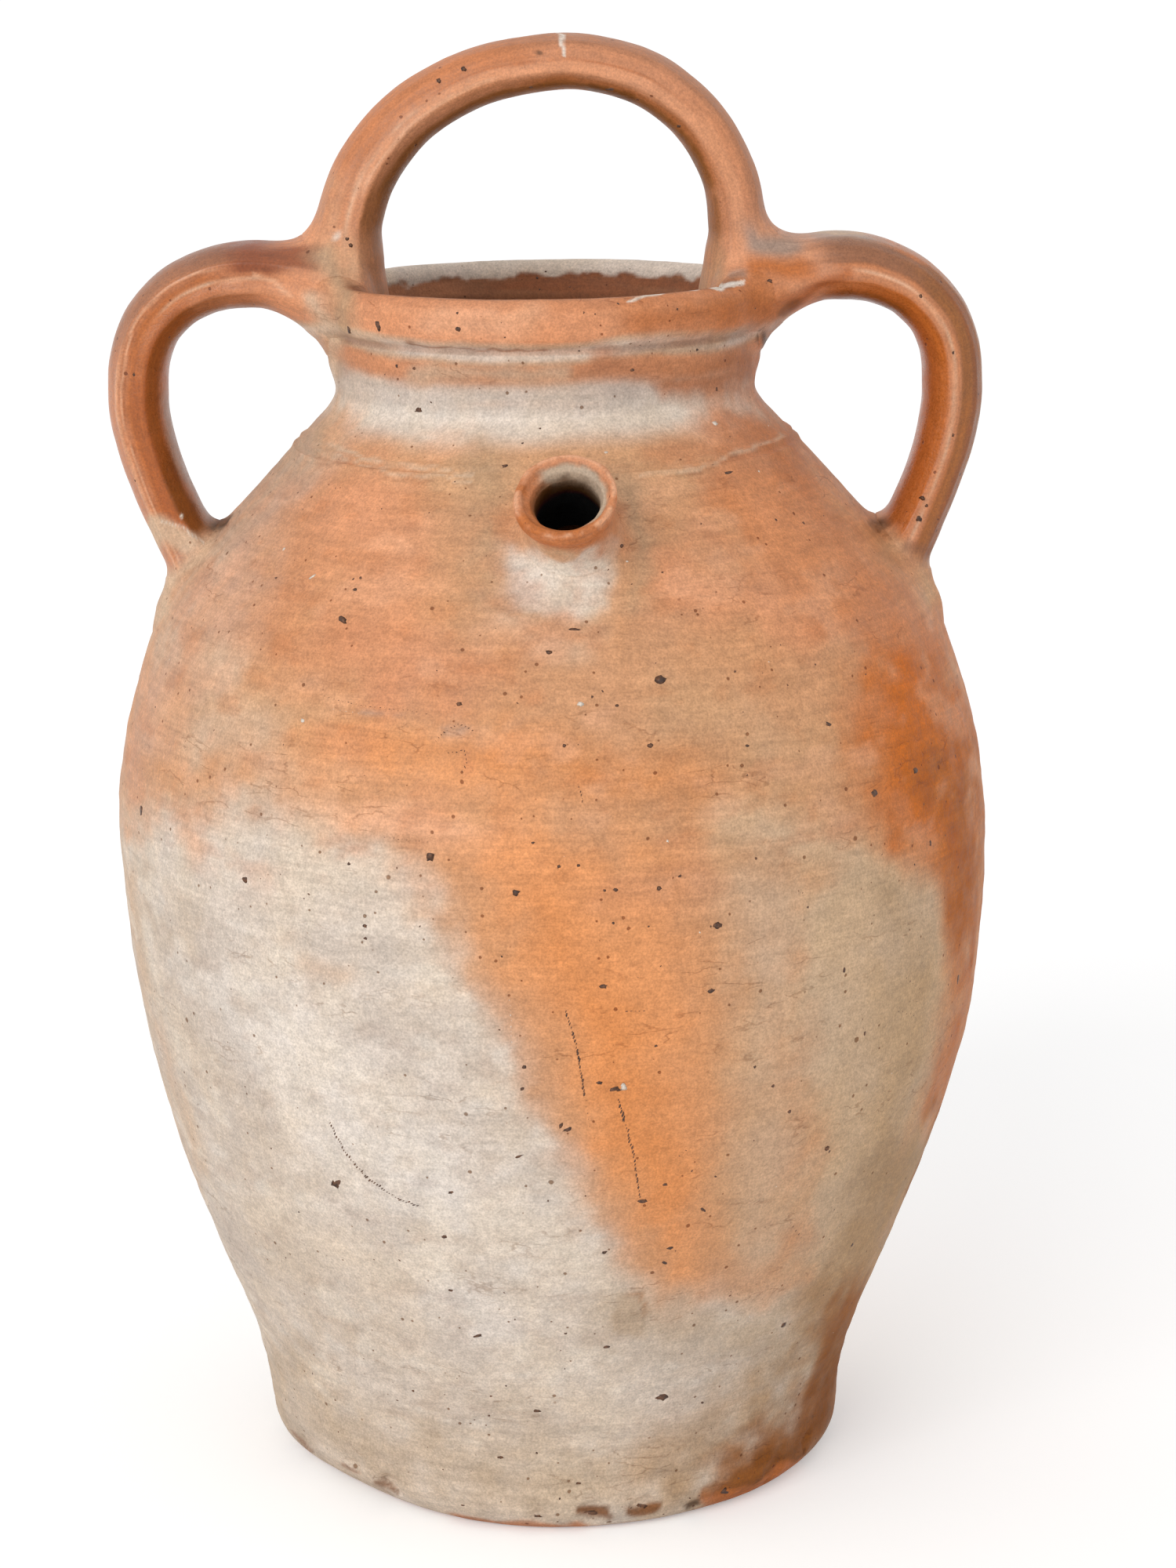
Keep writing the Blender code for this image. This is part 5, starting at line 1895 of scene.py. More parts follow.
@dataclass(frozen=True)
class FiredClay:
    """The finish of fired stoneware over a skin's stored colours."""

    name: str
    cloud: float = 0.035
    mottle: float = 0.05
    flecks: float = 0.07
    grain: float = 0.15
    brush: float = 0.05
    lines: float = 0.0
    crazing: float = 0.0
    specks: float = 0.42
    fine_speck_cell: float = 0.0042
    coarse_speck_cell: float = 0.0125
    fine_speck_size: float = 0.128
    coarse_speck_size: float = 0.070
    roughest: float = 0.80
    smoothest: float = 0.20
    grain_height_mm: float = 0.075
    brush_height_mm: float = 0.026
    fleck_height_mm: float = 0.085
    mottle_height_mm: float = 0.21
    pit_depth_mm: float = 0.14
    index_of_refraction: float = 1.40
    cloud_noise: tuple[float, float, float] = (34.0, 5.0, 0.62)
    mottle_noise: tuple[float, float, float] = (140.0, 5.0, 0.65)
    fleck_noise: tuple[float, float, float] = (520.0, 3.0, 0.7)
    grain_noise: tuple[float, float, float] = (1500.0, 2.0, 0.6)
    brush_noise: tuple[float, float, float] = (900.0, 3.0, 0.6)
    line_noise: tuple[float, float, float] = (430.0, 4.0, 0.7)
    iron_tint: tuple[float, float, float] = (0.36, 0.24, 0.16)
    iron_strength: float = 0.85
    coarse_share: float = 0.7

    def build(self) -> bpy.types.Material:
        """Make the material."""
        sheet = NodeSheet(bpy.data.materials.new(self.name))
        stored = sheet.add("Attribute", attribute_name=COLOUR_ATTRIBUTE)
        way = sheet.add("Attribute", attribute_name=GRAIN_ATTRIBUTE).outputs["Vector"]
        place = sheet.add("TexCoord").outputs["Object"]
        cloud, mottle = sheet.noise(place, *self.cloud_noise), sheet.noise(place, *self.mottle_noise)
        flecks, grain = sheet.noise(place, *self.fleck_noise), sheet.noise(place, *self.grain_noise)
        brush = sheet.noise(way, *self.brush_noise)
        tone = sheet.ranged(mottle, 0.30, 0.70, 1.0 - self.mottle, 1.0 + self.mottle)
        for value, depth in ((flecks, self.flecks), (grain, self.grain), (brush, self.brush)):
            tone = sheet.math("MULTIPLY", tone, sheet.ranged(value, 0.26, 0.74, 1.0 - depth, 1.0 + depth))
        if self.lines:
            tone = self._turned(sheet, tone, place, way)
        grey = sheet.add("CombineColor", {0: tone, 1: tone, 2: tone}).outputs[0]
        colour = sheet.mixed("MULTIPLY", 1.0, stored.outputs["Color"], grey)
        cool = (1.0 - self.cloud / 2, 1.0, 1.0 + self.cloud, 1.0)
        warm = (1.0 + self.cloud / 2, 1.0, 1.0 - self.cloud, 1.0)
        tint = sheet.mixed("MIX", sheet.ranged(cloud, 0.34, 0.66), cool, warm)
        colour = sheet.mixed("MULTIPLY", 1.0, colour, tint)
        spots = self._spots(sheet, place, self.fine_speck_cell, self.fine_speck_size, self.specks)
        coarse_specks = self.specks * self.coarse_share
        coarse = self._spots(sheet, place, self.coarse_speck_cell, self.coarse_speck_size, coarse_specks)
        spots = sheet.math("MAXIMUM", spots, coarse)
        if self.crazing:
            spots = sheet.math("MAXIMUM", spots, self._cracks(sheet, place))
        iron = sheet.mixed("MULTIPLY", 1.0, colour, (*self.iron_tint, 1.0))
        colour = sheet.mixed("MIX", sheet.math("MULTIPLY", spots, self.iron_strength), colour, iron)
        rough = sheet.ranged(stored.outputs["Alpha"], 0.0, 1.0, self.roughest, self.smoothest)
        for value, depth in ((grain, 0.06), (mottle, 0.07)):
            rough = sheet.math("ADD", rough, sheet.ranged(value, 0.3, 0.7, -depth, depth))
        height = sheet.math("MULTIPLY", grain, self.grain_height_mm)
        heights = (self.brush_height_mm, self.fleck_height_mm, self.mottle_height_mm)
        for value, rise in zip((brush, flecks, mottle), heights):
            height = sheet.math("ADD", height, sheet.math("MULTIPLY", value, rise))
        height = sheet.math("SUBTRACT", height, sheet.math("MULTIPLY", spots, self.pit_depth_mm))
        sheet.feed(sheet.shader, {
            "Base Color": colour, "Roughness": rough, "Normal": sheet.bumped(height),
            "IOR": self.index_of_refraction,
        })
        return sheet.owner

    def _turned(self, sheet: NodeSheet, tone: Socket, place: Socket, way: Socket) -> Socket:
        """The tone with fine lines round the shoulder and just above the foot, as turning leaves them."""
        height = sheet.add("SeparateXYZ", {0: place}).outputs["Z"]
        above, below = sheet.ranged(height, 0.165, 0.215), sheet.ranged(height, 0.335, 0.318)
        foot = sheet.ranged(height, 0.064, 0.040, 0.0, 0.9)
        turned = sheet.math("ADD", sheet.math("MULTIPLY", above, below), foot)
        line = sheet.ranged(sheet.noise(way, *self.line_noise), 0.30, 0.70, -self.lines, self.lines)
        return sheet.math("MULTIPLY", tone, sheet.math("ADD", 1.0, sheet.math("MULTIPLY", line, turned)))

    def _cracks(self, sheet: NodeSheet, place: Socket) -> Socket:
        """Fine scratches along the turning that show in some places only, as a mask."""
        place = sheet.vector("MULTIPLY", place, (0.30, 0.30, 1.0))
        bend = sheet.add("TexNoise", {"Vector": place, "Scale": 260.0, "Detail": 3.0}).outputs["Color"]
        bent = sheet.vector("ADD", sheet.vector("SCALE", bend, Scale=0.006), place)
        edges = sheet.add("TexVoronoi", {"Vector": bent, "Scale": 210.0}, feature="DISTANCE_TO_EDGE")
        thin = sheet.ranged(edges.outputs["Distance"], 0.045, 0.012, 0.0, self.crazing)
        broken = sheet.ranged(sheet.noise(place, 240.0, 2.0), 0.50, 0.62)
        zone = sheet.ranged(sheet.noise(place, 40.0, 2.0), 0.48, 0.62)
        return sheet.math("MULTIPLY", thin, sheet.math("MULTIPLY", broken, zone))

    @staticmethod
    def _spots(sheet: NodeSheet, place: Socket, cell: float, size: float, share: float) -> Socket:
        """Small round spots, some of them left out, each of its own size.

        Args:
            sheet: The material's nodes.
            place: The coordinates.
            cell: How far apart the spots are.
            size: The largest radius, as a share of the cell.
            share: How many of the cells have a spot.

        Returns:
            The socket of their mask.
        """
        jitter = sheet.noise(place, 0.9 / (cell * size * 2.0), 1.0)
        shift = sheet.add("CombineXYZ", {0: sheet.math("MULTIPLY", jitter, cell * size), 1: 0.0, 2: 0.0})
        bent = sheet.vector("ADD", place, shift.outputs[0])
        voronoi = sheet.add("TexVoronoi", {"Vector": bent, "Scale": 1.0 / cell, "Randomness": 1.0})
        parts = sheet.add("SeparateColor", {0: voronoi.outputs["Color"]})
        kept = sheet.math("LESS_THAN", parts.outputs[0], share)
        radius = sheet.math("ADD", sheet.math("MULTIPLY", parts.outputs[1], size), size * 0.25)
        depth = sheet.math("SUBTRACT", radius, voronoi.outputs["Distance"])
        return sheet.math("MULTIPLY", sheet.ranged(depth, 0.0, size * 0.4), kept)


@dataclass(frozen=True)
class SpotFinish:
    """The finish of iron spots, hairlines or pale flecks."""

    name: str
    colour: Colour
    second: Colour
    roughness: float

    def build(self) -> bpy.types.Material:
        """Make the material."""
        sheet = NodeSheet(bpy.data.materials.new(self.name))
        noise = sheet.noise(sheet.add("TexCoord").outputs["Object"], 900.0, 3.0)
        first, second = ((*linear(colour), 1.0) for colour in (self.colour, self.second))
        colour = sheet.mixed("MIX", sheet.ranged(noise, 0.35, 0.65), first, second)
        relief = sheet.bumped(sheet.math("MULTIPLY", noise, 0.08))
        sheet.feed(sheet.shader, {"Base Color": colour, "Roughness": self.roughness, "Normal": relief})
        return sheet.owner


class SurfaceFinder:
    """Finds the place on the pot that a pixel of the photograph shows."""

    def __init__(self, view: PhotoView, objects: Sequence[bpy.types.Object]) -> None:
        """Read the objects' faces."""
        self.view = view
        points, faces = [], []
        for obj in objects:
            start = len(points)
            points.extend(obj.matrix_world @ vertex.co for vertex in obj.data.vertices)
            faces.extend([start + k for k in polygon.vertices] for polygon in obj.data.polygons)
        self.tree = BVHTree.FromPolygons(points, faces)

    def find(self, place_px: Pixel) -> tuple[Vector | None, Vector | None]:
        """The place that a pixel shows and the surface's direction there, or None for the background."""
        return self.tree.ray_cast(Vector(self.view.eye), self.view.ray(place_px))[:2]


@dataclass
class Spots:
    """Iron spots, hairlines and flecks: small lenses of glassy clay seated in the surface."""

    name: str
    finish: SpotFinish
    specks: tuple[Speck, ...]
    trails: tuple[Trail, ...]
    scattered: int
    seed: int = 11
    scattered_size: tuple[float, float] = (0.0003, 0.0010)
    corners: int = 11
    unevenness: float = 0.28
    swell: float = 1.3
    proud: float = 0.00007
    seated: float = 0.00035
    px_per_metre: float = 4300.0
    wander_px: float = 0.5
    trail_sizes: tuple[float, float] = (0.5, 1.3)
    trail_stretch: float = 2.4
    scattered_widths: tuple[float, float] = (0.5, 1.0)
    scattered_turns: tuple[float, float] = (0.0, 3.1)
    _points: list[Vector] = field(default_factory=list)
    _faces: list[tuple[int, ...]] = field(default_factory=list)
    dice: np.random.Generator | None = None

    def _lens(self, place: Vector, normal: Vector, length: float, width: float, turn: float) -> None:
        """Add one closed lens with an uneven outline."""
        side = normal.cross(Vector((0.0, 0.0, 1.0)))
        side = side.normalized() if side.length > 0.05 else Vector((1.0, 0.0, 0.0))
        up = side.cross(normal)
        start = len(self._points)
        for k in range(self.corners):
            angle = FULL_TURN * k / self.corners
            uneven = 1.0 + self.unevenness * self.dice.uniform(-1.0, 1.0)
            a, b = uneven * length / 2.0 * math.cos(angle), uneven * width / 2.0 * math.sin(angle)
            x, y = a * math.cos(turn) - b * math.sin(turn), a * math.sin(turn) + b * math.cos(turn)
            self._points.append(place + side * x + up * y - normal * (self.proud * 0.2))
        self._points += [place + normal * self.proud, place - normal * self.seated]
        for k in range(self.corners):
            beside = start + (k + 1) % self.corners
            self._faces.append((start + k, beside, start + self.corners))
            self._faces.append((beside, start + k, start + self.corners + 1))

    def _trail(self, trail: Trail, finder: SurfaceFinder) -> None:
        """Add a hairline's spots."""
        path = np.array(trail.path_px, dtype=float).reshape(-1, 2)
        line = resampled(path, trail.gap / HUNDREDTHS_PER_METRE * self.px_per_metre)
        for here, there in zip(line, line[1:]):
            spot = here + self.dice.normal(0.0, self.wander_px, 2)
            place, normal = finder.find((float(spot[0]), float(spot[1])))
            if place is None:
                continue
            turn = math.atan2(-(there[1] - here[1]), there[0] - here[0])
            size = trail.size / HUNDREDTHS_PER_METRE * float(self.dice.uniform(*self.trail_sizes))
            self._lens(place, normal, size * self.trail_stretch, size, turn)

    def build(self, finder: SurfaceFinder, carrier: ClaySkin) -> None:
        """Seat all spots and hand them to the frame as one piece.

        Args:
            finder: Finds places on the pot.
            carrier: The skin that the scattered spots lie on.
        """
        self.dice = np.random.default_rng(self.seed)
        for speck in self.specks:
            place, normal = finder.find((speck.x_px, speck.y_px))
            if place is not None:
                length, width = (side / TENTHS_PER_METRE * self.swell for side in (speck.length, speck.width))
                self._lens(place, normal, length, width, math.radians(speck.turn_degrees))
        for trail in self.trails:
            self._trail(trail, finder)
        points = carrier.points
        for k in self.dice.integers(0, len(points), self.scattered):
            size = float(self.dice.uniform(*self.scattered_size))
            place, normal, _, _ = finder.tree.find_nearest(Vector(points[k]))
            width = size * float(self.dice.uniform(*self.scattered_widths))
            self._lens(place, normal, size, width, float(self.dice.uniform(*self.scattered_turns)))
        mesh = bpy.data.meshes.new(self.name)
        mesh.from_pydata([tuple(point) for point in self._points], [], self._faces)
        mesh.shade_smooth()
        mesh.materials.append(self.finish.build())
        obj = bpy.data.objects.new(self.name, mesh)
        bpy.context.scene.collection.objects.link(obj)
        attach(obj, "root")
        LOG.info("%s: %d faces", self.name, len(self._faces))


IRON_SPECKS: tuple[Speck, ...] = rows(
    Speck,
    (658, 1138, 22, 15), (867, 1117, 28, 17, -20), (915, 1181, 22, 18), (907, 1264, 20, 15),
    (1057, 1467, 30, 18, 40), (432, 1508, 40, 28, -25), (714, 1436, 26, 16, -25),
    (724, 1441, 22, 13, -25), (1115, 1012, 26, 20), (1168, 983, 22, 16, 30), (313, 1122, 24, 20),
    (180, 1035, 20, 28), (436, 790, 34, 14, 20), (843, 868, 26, 24), (787, 900, 10, 8), (720, 951, 11, 9),
    (830, 951, 14, 13), (953, 951, 12, 8), (1057, 924, 22, 12, 30), (644, 594, 18, 14),
    (793, 696, 12, 10), (733, 803, 30, 8), (445, 420, 16, 20), (482, 415, 18, 28), (585, 420, 14, 12),
    (534, 523, 18, 16), (806, 472, 12, 10), (506, 467, 10, 10), (528, 470, 10, 10), (889, 446, 10, 8),
    (914, 496, 9, 14), (929, 603, 28, 10), (640, 1220, 6, 6), (770, 1258, 18, 14), (837, 1334, 9, 7),
    (669, 1361, 13, 9), (666, 1389, 12, 8, -30), (781, 1391, 34, 20, -10), (764, 1381, 14, 10),
    (819, 1532, 26, 12), (848, 1511, 12, 8), (897, 1543, 20, 9, 45), (855, 1592, 19, 10),
    (848, 1611, 18, 9, 30), (771, 1597, 15, 9, -30), (567, 1578, 16, 14), (575, 1646, 14, 8),
    (575, 1521, 16, 7, -15), (662, 1475, 20, 6, -20), (465, 1181, 14, 10), (466, 1197, 10, 8),
    (610, 1704, 22, 9, -25), (773, 1718, 20, 10), (721, 1701, 10, 6), (685, 1800, 19, 13),
    (626, 1781, 8, 7), (896, 1789, 10, 8), (1000, 1690, 18, 14, 30), (527, 1774, 8, 8),
    (638, 1859, 16, 10), (738, 1892, 14, 9), (845, 1782, 30, 20), (1087, 1588, 15, 15),
    (986, 1385, 10, 10), (1007, 1418, 12, 10), (963, 1361, 9, 8), (1103, 1318, 8, 12),
    (1077, 1237, 10, 16), (1187, 1075, 13, 18), (1222, 1248, 16, 26), (548, 1090, 20, 30),
    (738, 1104, 10, 8), (713, 1105, 10, 9), (785, 1135, 14, 10), (841, 1133, 14, 12), (771, 1136, 9, 8),
    (680, 1075, 9, 7), (445, 1102, 10, 8), (700, 832, 14, 10), (585, 898, 15, 9), (460, 737, 10, 8),
    (453, 752, 14, 10), (352, 737, 10, 7), (560, 103, 14, 12), (591, 88, 14, 13), (677, 111, 13, 8),
    (866, 161, 12, 10), (779, 114, 24, 10), (443, 305, 12, 10), (447, 313, 12, 10), (1176, 635, 18, 10),
    (1171, 661, 22, 18), (1182, 645, 10, 10), (230, 570, 14, 24), (171, 478, 8, 12), (172, 613, 8, 9),
    (983, 358, 20, 12), (1174, 378, 10, 10), (1216, 450, 8, 10), (1216, 555, 9, 10), (1025, 667, 10, 10),
    (990, 663, 8, 8), (590, 1920, 10, 6), (884, 1921, 34, 20, 20), (755, 1931, 52, 20),
    (820, 1921, 40, 22, 15), (922, 1901, 34, 16, 30), (684, 1934, 28, 12),
)
HAIRLINES: tuple[Trail, ...] = rows(
    Trail,
    (62, 100, (722, 1290, 734, 1330, 740, 1362, 746, 1400)),
    (22, 200, (745, 1395, 750, 1420, 752, 1445)),
    (62, 100, (788, 1402, 800, 1440, 808, 1470, 812, 1500, 818, 1536)),
    (50, 90, (421, 1432, 440, 1470, 468, 1502, 500, 1525, 536, 1540)),
    (22, 140, (414, 888, 460, 900, 550, 910)),
    (28, 120, (556, 945, 566, 934, 585, 923, 607, 934)),
    (34, 120, (572, 960, 592, 957, 596, 972, 588, 988)),
    (34, 110, (739, 1004, 742, 1016, 744, 1028)),
    (20, 130, (492, 1068, 556, 1076)),
    (32, 120, (800, 1290, 826, 1290)),
    (26, 120, (862, 1478, 880, 1464)),
    (30, 120, (1156, 1248, 1174, 1262, 1168, 1282)),
    (26, 120, (1146, 1290, 1170, 1296)),
    (22, 140, (1098, 1288, 1106, 1330)),
    (22, 140, (1126, 1386, 1140, 1420)),
    (34, 130, (1008, 1560, 1026, 1584)),
    (24, 130, (1060, 1540, 1078, 1552)),
    (18, 220, (984, 1632, 960, 1640, 930, 1655)),
)
PALE_FLECKS: tuple[Speck, ...] = rows(
    Speck,
    (796, 1388, 30, 16, 70), (740, 898, 18, 13), (386, 919, 12, 10), (773, 577, 10, 10),
    (399, 735, 22, 7, -50), (362, 700, 9, 11), (912, 540, 20, 18), (232, 658, 9, 9), (968, 601, 8, 7),
    (800, 716, 9, 5), (936, 366, 24, 12, 20), (915, 367, 22, 10),
)
PALE_LINES: tuple[Trail, ...] = rows(
    Trail,
    (22, 160, (650, 1276, 652, 1310, 653, 1342)),
    (16, 200, (425, 905, 475, 912)),
)


@dataclass
class Studio:
    """A plain white floor, a bright plain room and one soft lamp from the front left."""

    room_level: float = 0.75
    sun_level: float = 0.80
    sun_angle_degrees: float = 30.0
    sun_turn: tuple[float, float, float] = (62.0, 0.0, -26.0)
    box_level: float = 4.5
    box_place: tuple[float, float, float] = (-1.15, -1.35, 0.95)
    box_aim: tuple[float, float, float] = (0.0, 0.0, 0.25)
    box_size: tuple[float, float] = (0.28, 1.3)
    floor_half: float = 60.0
    floor_grey: float = 0.86
    floor_lift: float = 0.30

    def build(self) -> None:
        """Set up the floor, the room and the lamps."""
        bpy.context.scene.view_settings.view_transform = "Standard"
        self._room()
        self._floor()
        sun = self._lamp("soft_sun", "SUN", self.sun_level)
        sun.data.angle = math.radians(self.sun_angle_degrees)
        sun.rotation_euler = [math.radians(turn) for turn in self.sun_turn]
        box = self._lamp("window_box", "AREA", self.box_level)
        box.data.shape = "RECTANGLE"
        box.data.size, box.data.size_y = self.box_size
        box.location = self.box_place
        aim = Vector(self.box_aim) - Vector(self.box_place)
        box.rotation_euler = aim.to_track_quat("-Z", "Y").to_euler()

    @staticmethod
    def _lamp(name: str, kind: str, level: float) -> bpy.types.Object:
        """Add a lamp of a kind and strength."""
        data = bpy.data.lights.new(name, kind)
        data.energy = level
        lamp = bpy.data.objects.new(name, data)
        bpy.context.scene.collection.objects.link(lamp)
        return lamp

    def _room(self) -> None:
        """Light from all round, seen as plain white."""
        world = bpy.data.worlds.new("plain_room")
        bpy.context.scene.world = world
        sheet = NodeSheet(world, "Background")
        level = sheet.add("Mix", {0: sheet.seen(), 2: self.room_level, 3: 1.0}, data_type="FLOAT")
        sheet.feed(sheet.shader, {"Color": (1.0, 1.0, 1.0, 1.0), "Strength": level.outputs[0]})

    def _floor(self) -> None:
        """A white floor that keeps the pot's shadow."""
        half = self.floor_half
        mesh = bpy.data.meshes.new("studio_floor")
        corners = [(-half, -half, 0.0), (half, -half, 0.0), (half, half, 0.0), (-half, half, 0.0)]
        mesh.from_pydata(corners, [], [(0, 1, 2, 3)])
        floor = bpy.data.objects.new("studio_floor", mesh)
        bpy.context.scene.collection.objects.link(floor)
        sheet = NodeSheet(bpy.data.materials.new("studio_floor"))
        sheet.feed(sheet.shader, {
            "Base Color": (self.floor_grey,) * 3 + (1.0,), "Roughness": 1.0, "Specular IOR Level": 0.0,
            "Emission Color": (1.0, 1.0, 1.0, 1.0),
            "Emission Strength": sheet.math("MULTIPLY", sheet.seen(), self.floor_lift),
        })
        mesh.materials.append(sheet.owner)


@dataclass
class StonewarePot:
    """The whole pot: it makes the pieces, joins them, ages them and colours them."""

    view: PhotoView = field(default_factory=PhotoView)
    lean: Lean = field(default_factory=Lean)
    section: WallSection = field(default_factory=WallSection)
    bail_rise: float = 0.0655
    bail_inset: float = 0.0036
    bail_thickness: float = 0.0176
    ear_thickness: float = 0.0184
    ear_place_share: float = 0.427
    ear_root_inset: float = 0.0052
    ear_landing_inset: float = 0.0145
    ear_reach: float = 0.0082
    ear_top: float = 0.0026
    ear_root_drop: float = 0.0045
    bail_fillet: float = 0.012
    mouth_fillet: float = 0.0035
    ear_root_fillet: float = 0.015
    ear_landing_fillet: float = 0.0075
    spout_fillet: float = 0.0080
    joint_height: float = 0.235
    spout_facing: float = 0.2
    ear_root_zone: Pixel = (0.305, 0.335)
    joined_jar_zone: Pixel = (0.0065, 0.0010)
    joined_knot_zone: Pixel = (0.024, 0.010)
    joined_knot_share: float = 1.08
    dent_height: float = 0.00022
    pore_height: float = 0.00006

    def __post_init__(self) -> None:
        """Shape the pieces, which have no mesh yet."""
        self.relief, self.marks = ClayNoise(3), ClayNoise(17)
        self.jar = ThrownJar(self.section)
        self.spout = LutedSpout(self.section)
        bail, left, right = self.bail_knots(), self.ear_knots(-1.0), self.ear_knots(1.0)
        thick, thin = self.bail_thickness, self.ear_thickness
        self.straps = rows(
            PulledStrap,
            ("bail_strap", Piece.BAIL, bail, thick, 1.0, BAIL_CRESTS, BAIL_STRIPES, 0.50),
            ("left_ear_strap", Piece.LEFT_EAR, left, thin, -1.0, LEFT_EAR_CRESTS, LEFT_EAR_STRIPES, 0.66),
            ("right_ear_strap", Piece.RIGHT_EAR, right, thin, 1.0, RIGHT_EAR_CRESTS, RIGHT_EAR_STRIPES, 0.70),
        )
        self.bail = self.straps[0]

    def bail_knots(self) -> tuple[Knot, ...]:
        """The bail from its smeared left foot over the mouth to its right foot."""
        half_span = self.section.crest_radius - self.bail_inset
        mouth = self.section.mouth_height
        foot = [(1.0, -0.023, 0.42), (1.0, -0.014, 1.05), (1.0, -0.006, 1.38)]
        shares = (
            (-1.0, 0.07, 1.22), (-0.985, 0.31, 1.14), (-0.80, 0.64, 1.08), (-0.47, 0.875, 1.02),
            (-0.06, 0.985, 0.97), (0.32, 0.98, 0.95), (0.68, 0.83, 0.95), (0.94, 0.51, 0.95),
            (1.0, 0.22, 1.0), (1.0, 0.07, 1.18),
        )
        knots = [(-out * half_span, mouth + down, swell) for out, down, swell in foot]
        knots += [(out * half_span, mouth + up * self.bail_rise, swell) for out, up, swell in shares]
        knots += [(out * half_span, mouth + down, swell) for out, down, swell in reversed(foot)]
        return tuple(knots)

    def ear_knots(self, side: float) -> tuple[Knot, ...]:
        """An ear from inside the rim out to its full reach and down to the shoulder."""
        wall_radius, landing_height = self.section.place(self.ear_place_share)
        root = self.section.crest_radius - self.ear_root_inset
        landing = wall_radius - self.ear_landing_inset
        reach = wall_radius + self.ear_reach
        top = self.section.mouth_height + self.ear_top
        drop = top - landing_height
        upper = (
            (0.26, 0.02, 1.12), (0.50, 0.0, 1.12), (0.72, 0.035, 1.06), (0.86, 0.10, 1.03),
            (0.96, 0.20, 1.01),
        )
        lower = (
            (1.0, 0.38, 1.0), (0.94, 0.50, 0.98), (0.76, 0.645, 0.95), (0.54, 0.77, 0.96),
            (0.32, 0.87, 1.04),
        )
        knots = [(side * root, self.section.mouth_height - self.ear_root_drop, 0.84)]
        for start, shares in ((root, upper), (landing, lower)):
            for out, down, swell in shares:
                knots.append((side * (start + out * (reach - start)), top - down * drop, swell))
        return (*knots, (side * landing, landing_height, 1.16))

    def build(self, nodes: dict[str, bpy.types.Object]) -> None:
        """Make the pot.

        Args:
            nodes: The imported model's nodes by name.
        """
        self.jar.build()
        self.bail.build()
        for ear in self.straps[1:]:
            ear.build(lambda points: np.minimum(self.jar.distance(points), self.bail.distance(points)))
        self.spout.build(self.jar)
        self._join()
        self._age(SurfaceFinder(self.view, [nodes[Piece.JAR.value]]))
        self._colour()

    def _rim_share(self, points: Array, inside: float, outside: float) -> Array:
        """How far points are past the crest of the rim, from 0 within the mouth to 1 outside it."""
        crest = self.section.crest_radius
        return eased(np.hypot(points[:, 0], points[:, 1]), crest - inside, crest + outside)

    def _bail_fillet(self, points: Array) -> Array:
        """A wide fillet on the outside of the rim and beside the feet, and a tight one in the mouth."""
        out = np.maximum(self._rim_share(points, 0.007, 0.003), eased(np.abs(points[:, 1]), 0.009, 0.016))
        return self.mouth_fillet + out * (self.bail_fillet - self.mouth_fillet)

    def _ear_fillet(self, points: Array) -> Array:
        """A wide fillet at an ear's root that tightens towards the mouth, and a tight one at its landing."""
        out = self._rim_share(points, 0.012, 0.005)
        wide = self.mouth_fillet + out * (self.ear_root_fillet - self.mouth_fillet)
        root = eased(points[:, 2], *self.ear_root_zone)
        return self.ear_landing_fillet + root * (wide - self.ear_landing_fillet)

    def _join(self) -> None:
        """Draw the skins together where they are luted."""
        joints, jar, spout = SlipJoints(), self.jar, self.spout
        handles = [Luted(jar.distance), Luted(self.bail.distance, self._bail_fillet)]
        handles += [Luted(ear.distance, self._ear_fillet) for ear in self.straps[1:]]
        points = jar.skin.points
        tubes = [Luted(jar.distance), Luted(spout.distance, lambda at: np.full(len(at), self.spout_fillet))]
        outer = jar.skin.normals @ np.array(spout.matrix())[:3, 2] > self.spout_facing
        near_spout = outer & (spout.distance(points) < 2.0 * self.spout_fillet)
        joints.settle(jar.skin, handles, 0, (points[:, 2] > self.joint_height) & ~near_spout, rounds=6)
        joints.settle(jar.skin, tubes, 0, near_spout, rounds=6)
        for number, strap in enumerate(self.straps, start=1):
            joints.settle(strap.skin, handles, number)
        joints.settle(spout.skin, tubes, 1, ~spout.inner, rounds=4)

    def _age(self, finder: SurfaceFinder) -> None:
        """Give the skins the marks of the hand and of use, and bend them with the pot.

        Args:
            finder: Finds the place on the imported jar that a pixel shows.
        """
        jar, spout, noise = self.jar, self.spout, self.relief
        places = np.array([finder.find(place_px)[0] for place_px in jar.ridge_px])
        ridge_heights = self.lean.straighten(places)[:, 2].tolist()
        LOG.info("ridges at %s", ridge_heights)
        jar.skin.raise_by(jar.relief(jar.skin.points, noise, ridge_heights))
        spout.skin.raise_by(spout.relief(spout.skin.points, noise))
        skins = [piece.skin for piece in (jar, *self.straps, spout)]
        for skin in skins:
            points = skin.points
            dents, pores = noise.at(points, 0.024), noise.at(points, 0.0050, 2)
            skin.raise_by(self.dent_height * dents + self.pore_height * pores)
        jar.bore(spout)
        for skin in skins:
            skin.points = self.lean.bend(skin.points)
        jar.skin.raise_by(jar.chipped(jar.skin.points, finder, noise))

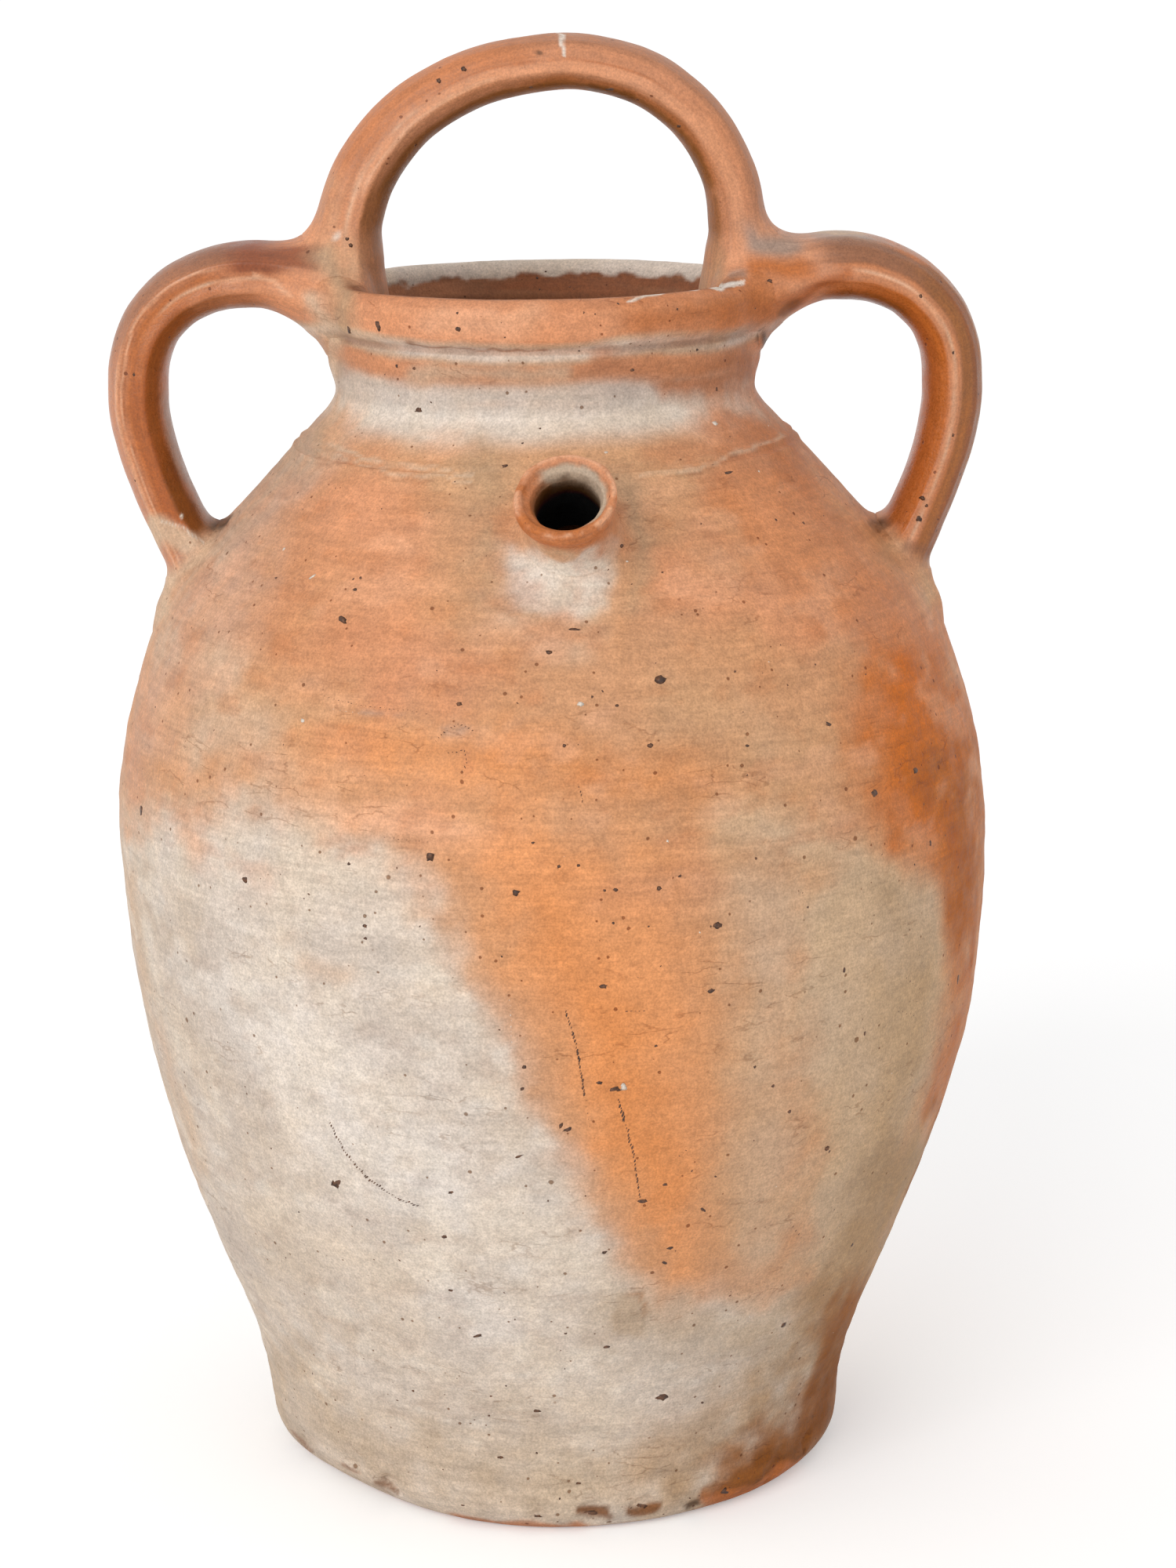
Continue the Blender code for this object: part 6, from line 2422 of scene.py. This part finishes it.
    def _joined(self, strap: PulledStrap) -> Array:
        """How much each of a strap's vertices belongs to a joint, from 0 to 1."""
        upright = self.lean.straighten(strap.skin.points)
        share = eased(self.jar.distance(upright), *self.joined_jar_zone)
        for side in (-1.0, 1.0):
            radius = side * self.section.crest_radius * self.joined_knot_share
            knot = np.array([radius, self.section.mouth_height])
            gap = np.linalg.norm(upright[:, [0, 2]] - knot, axis=1)
            share = np.maximum(share, eased(gap, *self.joined_knot_zone))
        return share

    def _colour(self) -> None:
        """Colour and finish the skins, and seat the spots on them."""
        jar, spout = self.jar, self.spout
        painter = Painter(self.view, self.lean, self.marks)
        painter.paint_jar(jar, self.bail, spout)
        painter.paint_spout(spout, jar)
        for strap in self.straps:
            painter.paint_strap(strap, self._joined(strap))
        jar_clay = FiredClay(
            "fired_jar_clay", mottle=0.07, flecks=0.10, lines=0.085, crazing=0.46, specks=0.62,
            index_of_refraction=1.30,
        )
        handle_clay = FiredClay(
            "fired_handle_clay", brush=0.10, brush_height_mm=0.06, index_of_refraction=1.46
        ).build()
        jar.skin.finish(jar_clay.build(), Piece.JAR, "body_stoneware")
        spout.skin.finish(FiredClay("fired_spout_clay").build(), Piece.SPOUT, "spout_stoneware")
        for strap in self.straps:
            strap.skin.finish(handle_clay, strap.piece, "handle_stoneware")
        finder = SurfaceFinder(self.view, [piece.skin.object for piece in (jar, *self.straps, spout)])
        iron = SpotFinish("iron_spots", (64, 42, 30), (112, 72, 46), 0.55)
        Spots("iron_spots", iron, IRON_SPECKS, HAIRLINES, 700).build(finder, jar.skin)
        pale = SpotFinish("lime_flecks", (232, 220, 206), (212, 196, 178), 0.7)
        Spots("lime_flecks", pale, PALE_FLECKS, PALE_LINES, 60, seed=23).build(finder, jar.skin)


def main() -> None:
    """Load the frame, dress the pot, and set up the camera and the studio."""
    logging.basicConfig(level=logging.INFO, format="%(name)s %(message)s")
    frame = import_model()
    pot = StonewarePot()
    pot.build(frame["nodes"])
    pot.view.add_camera()
    Studio().build()


if __name__ == "__main__":
    main()
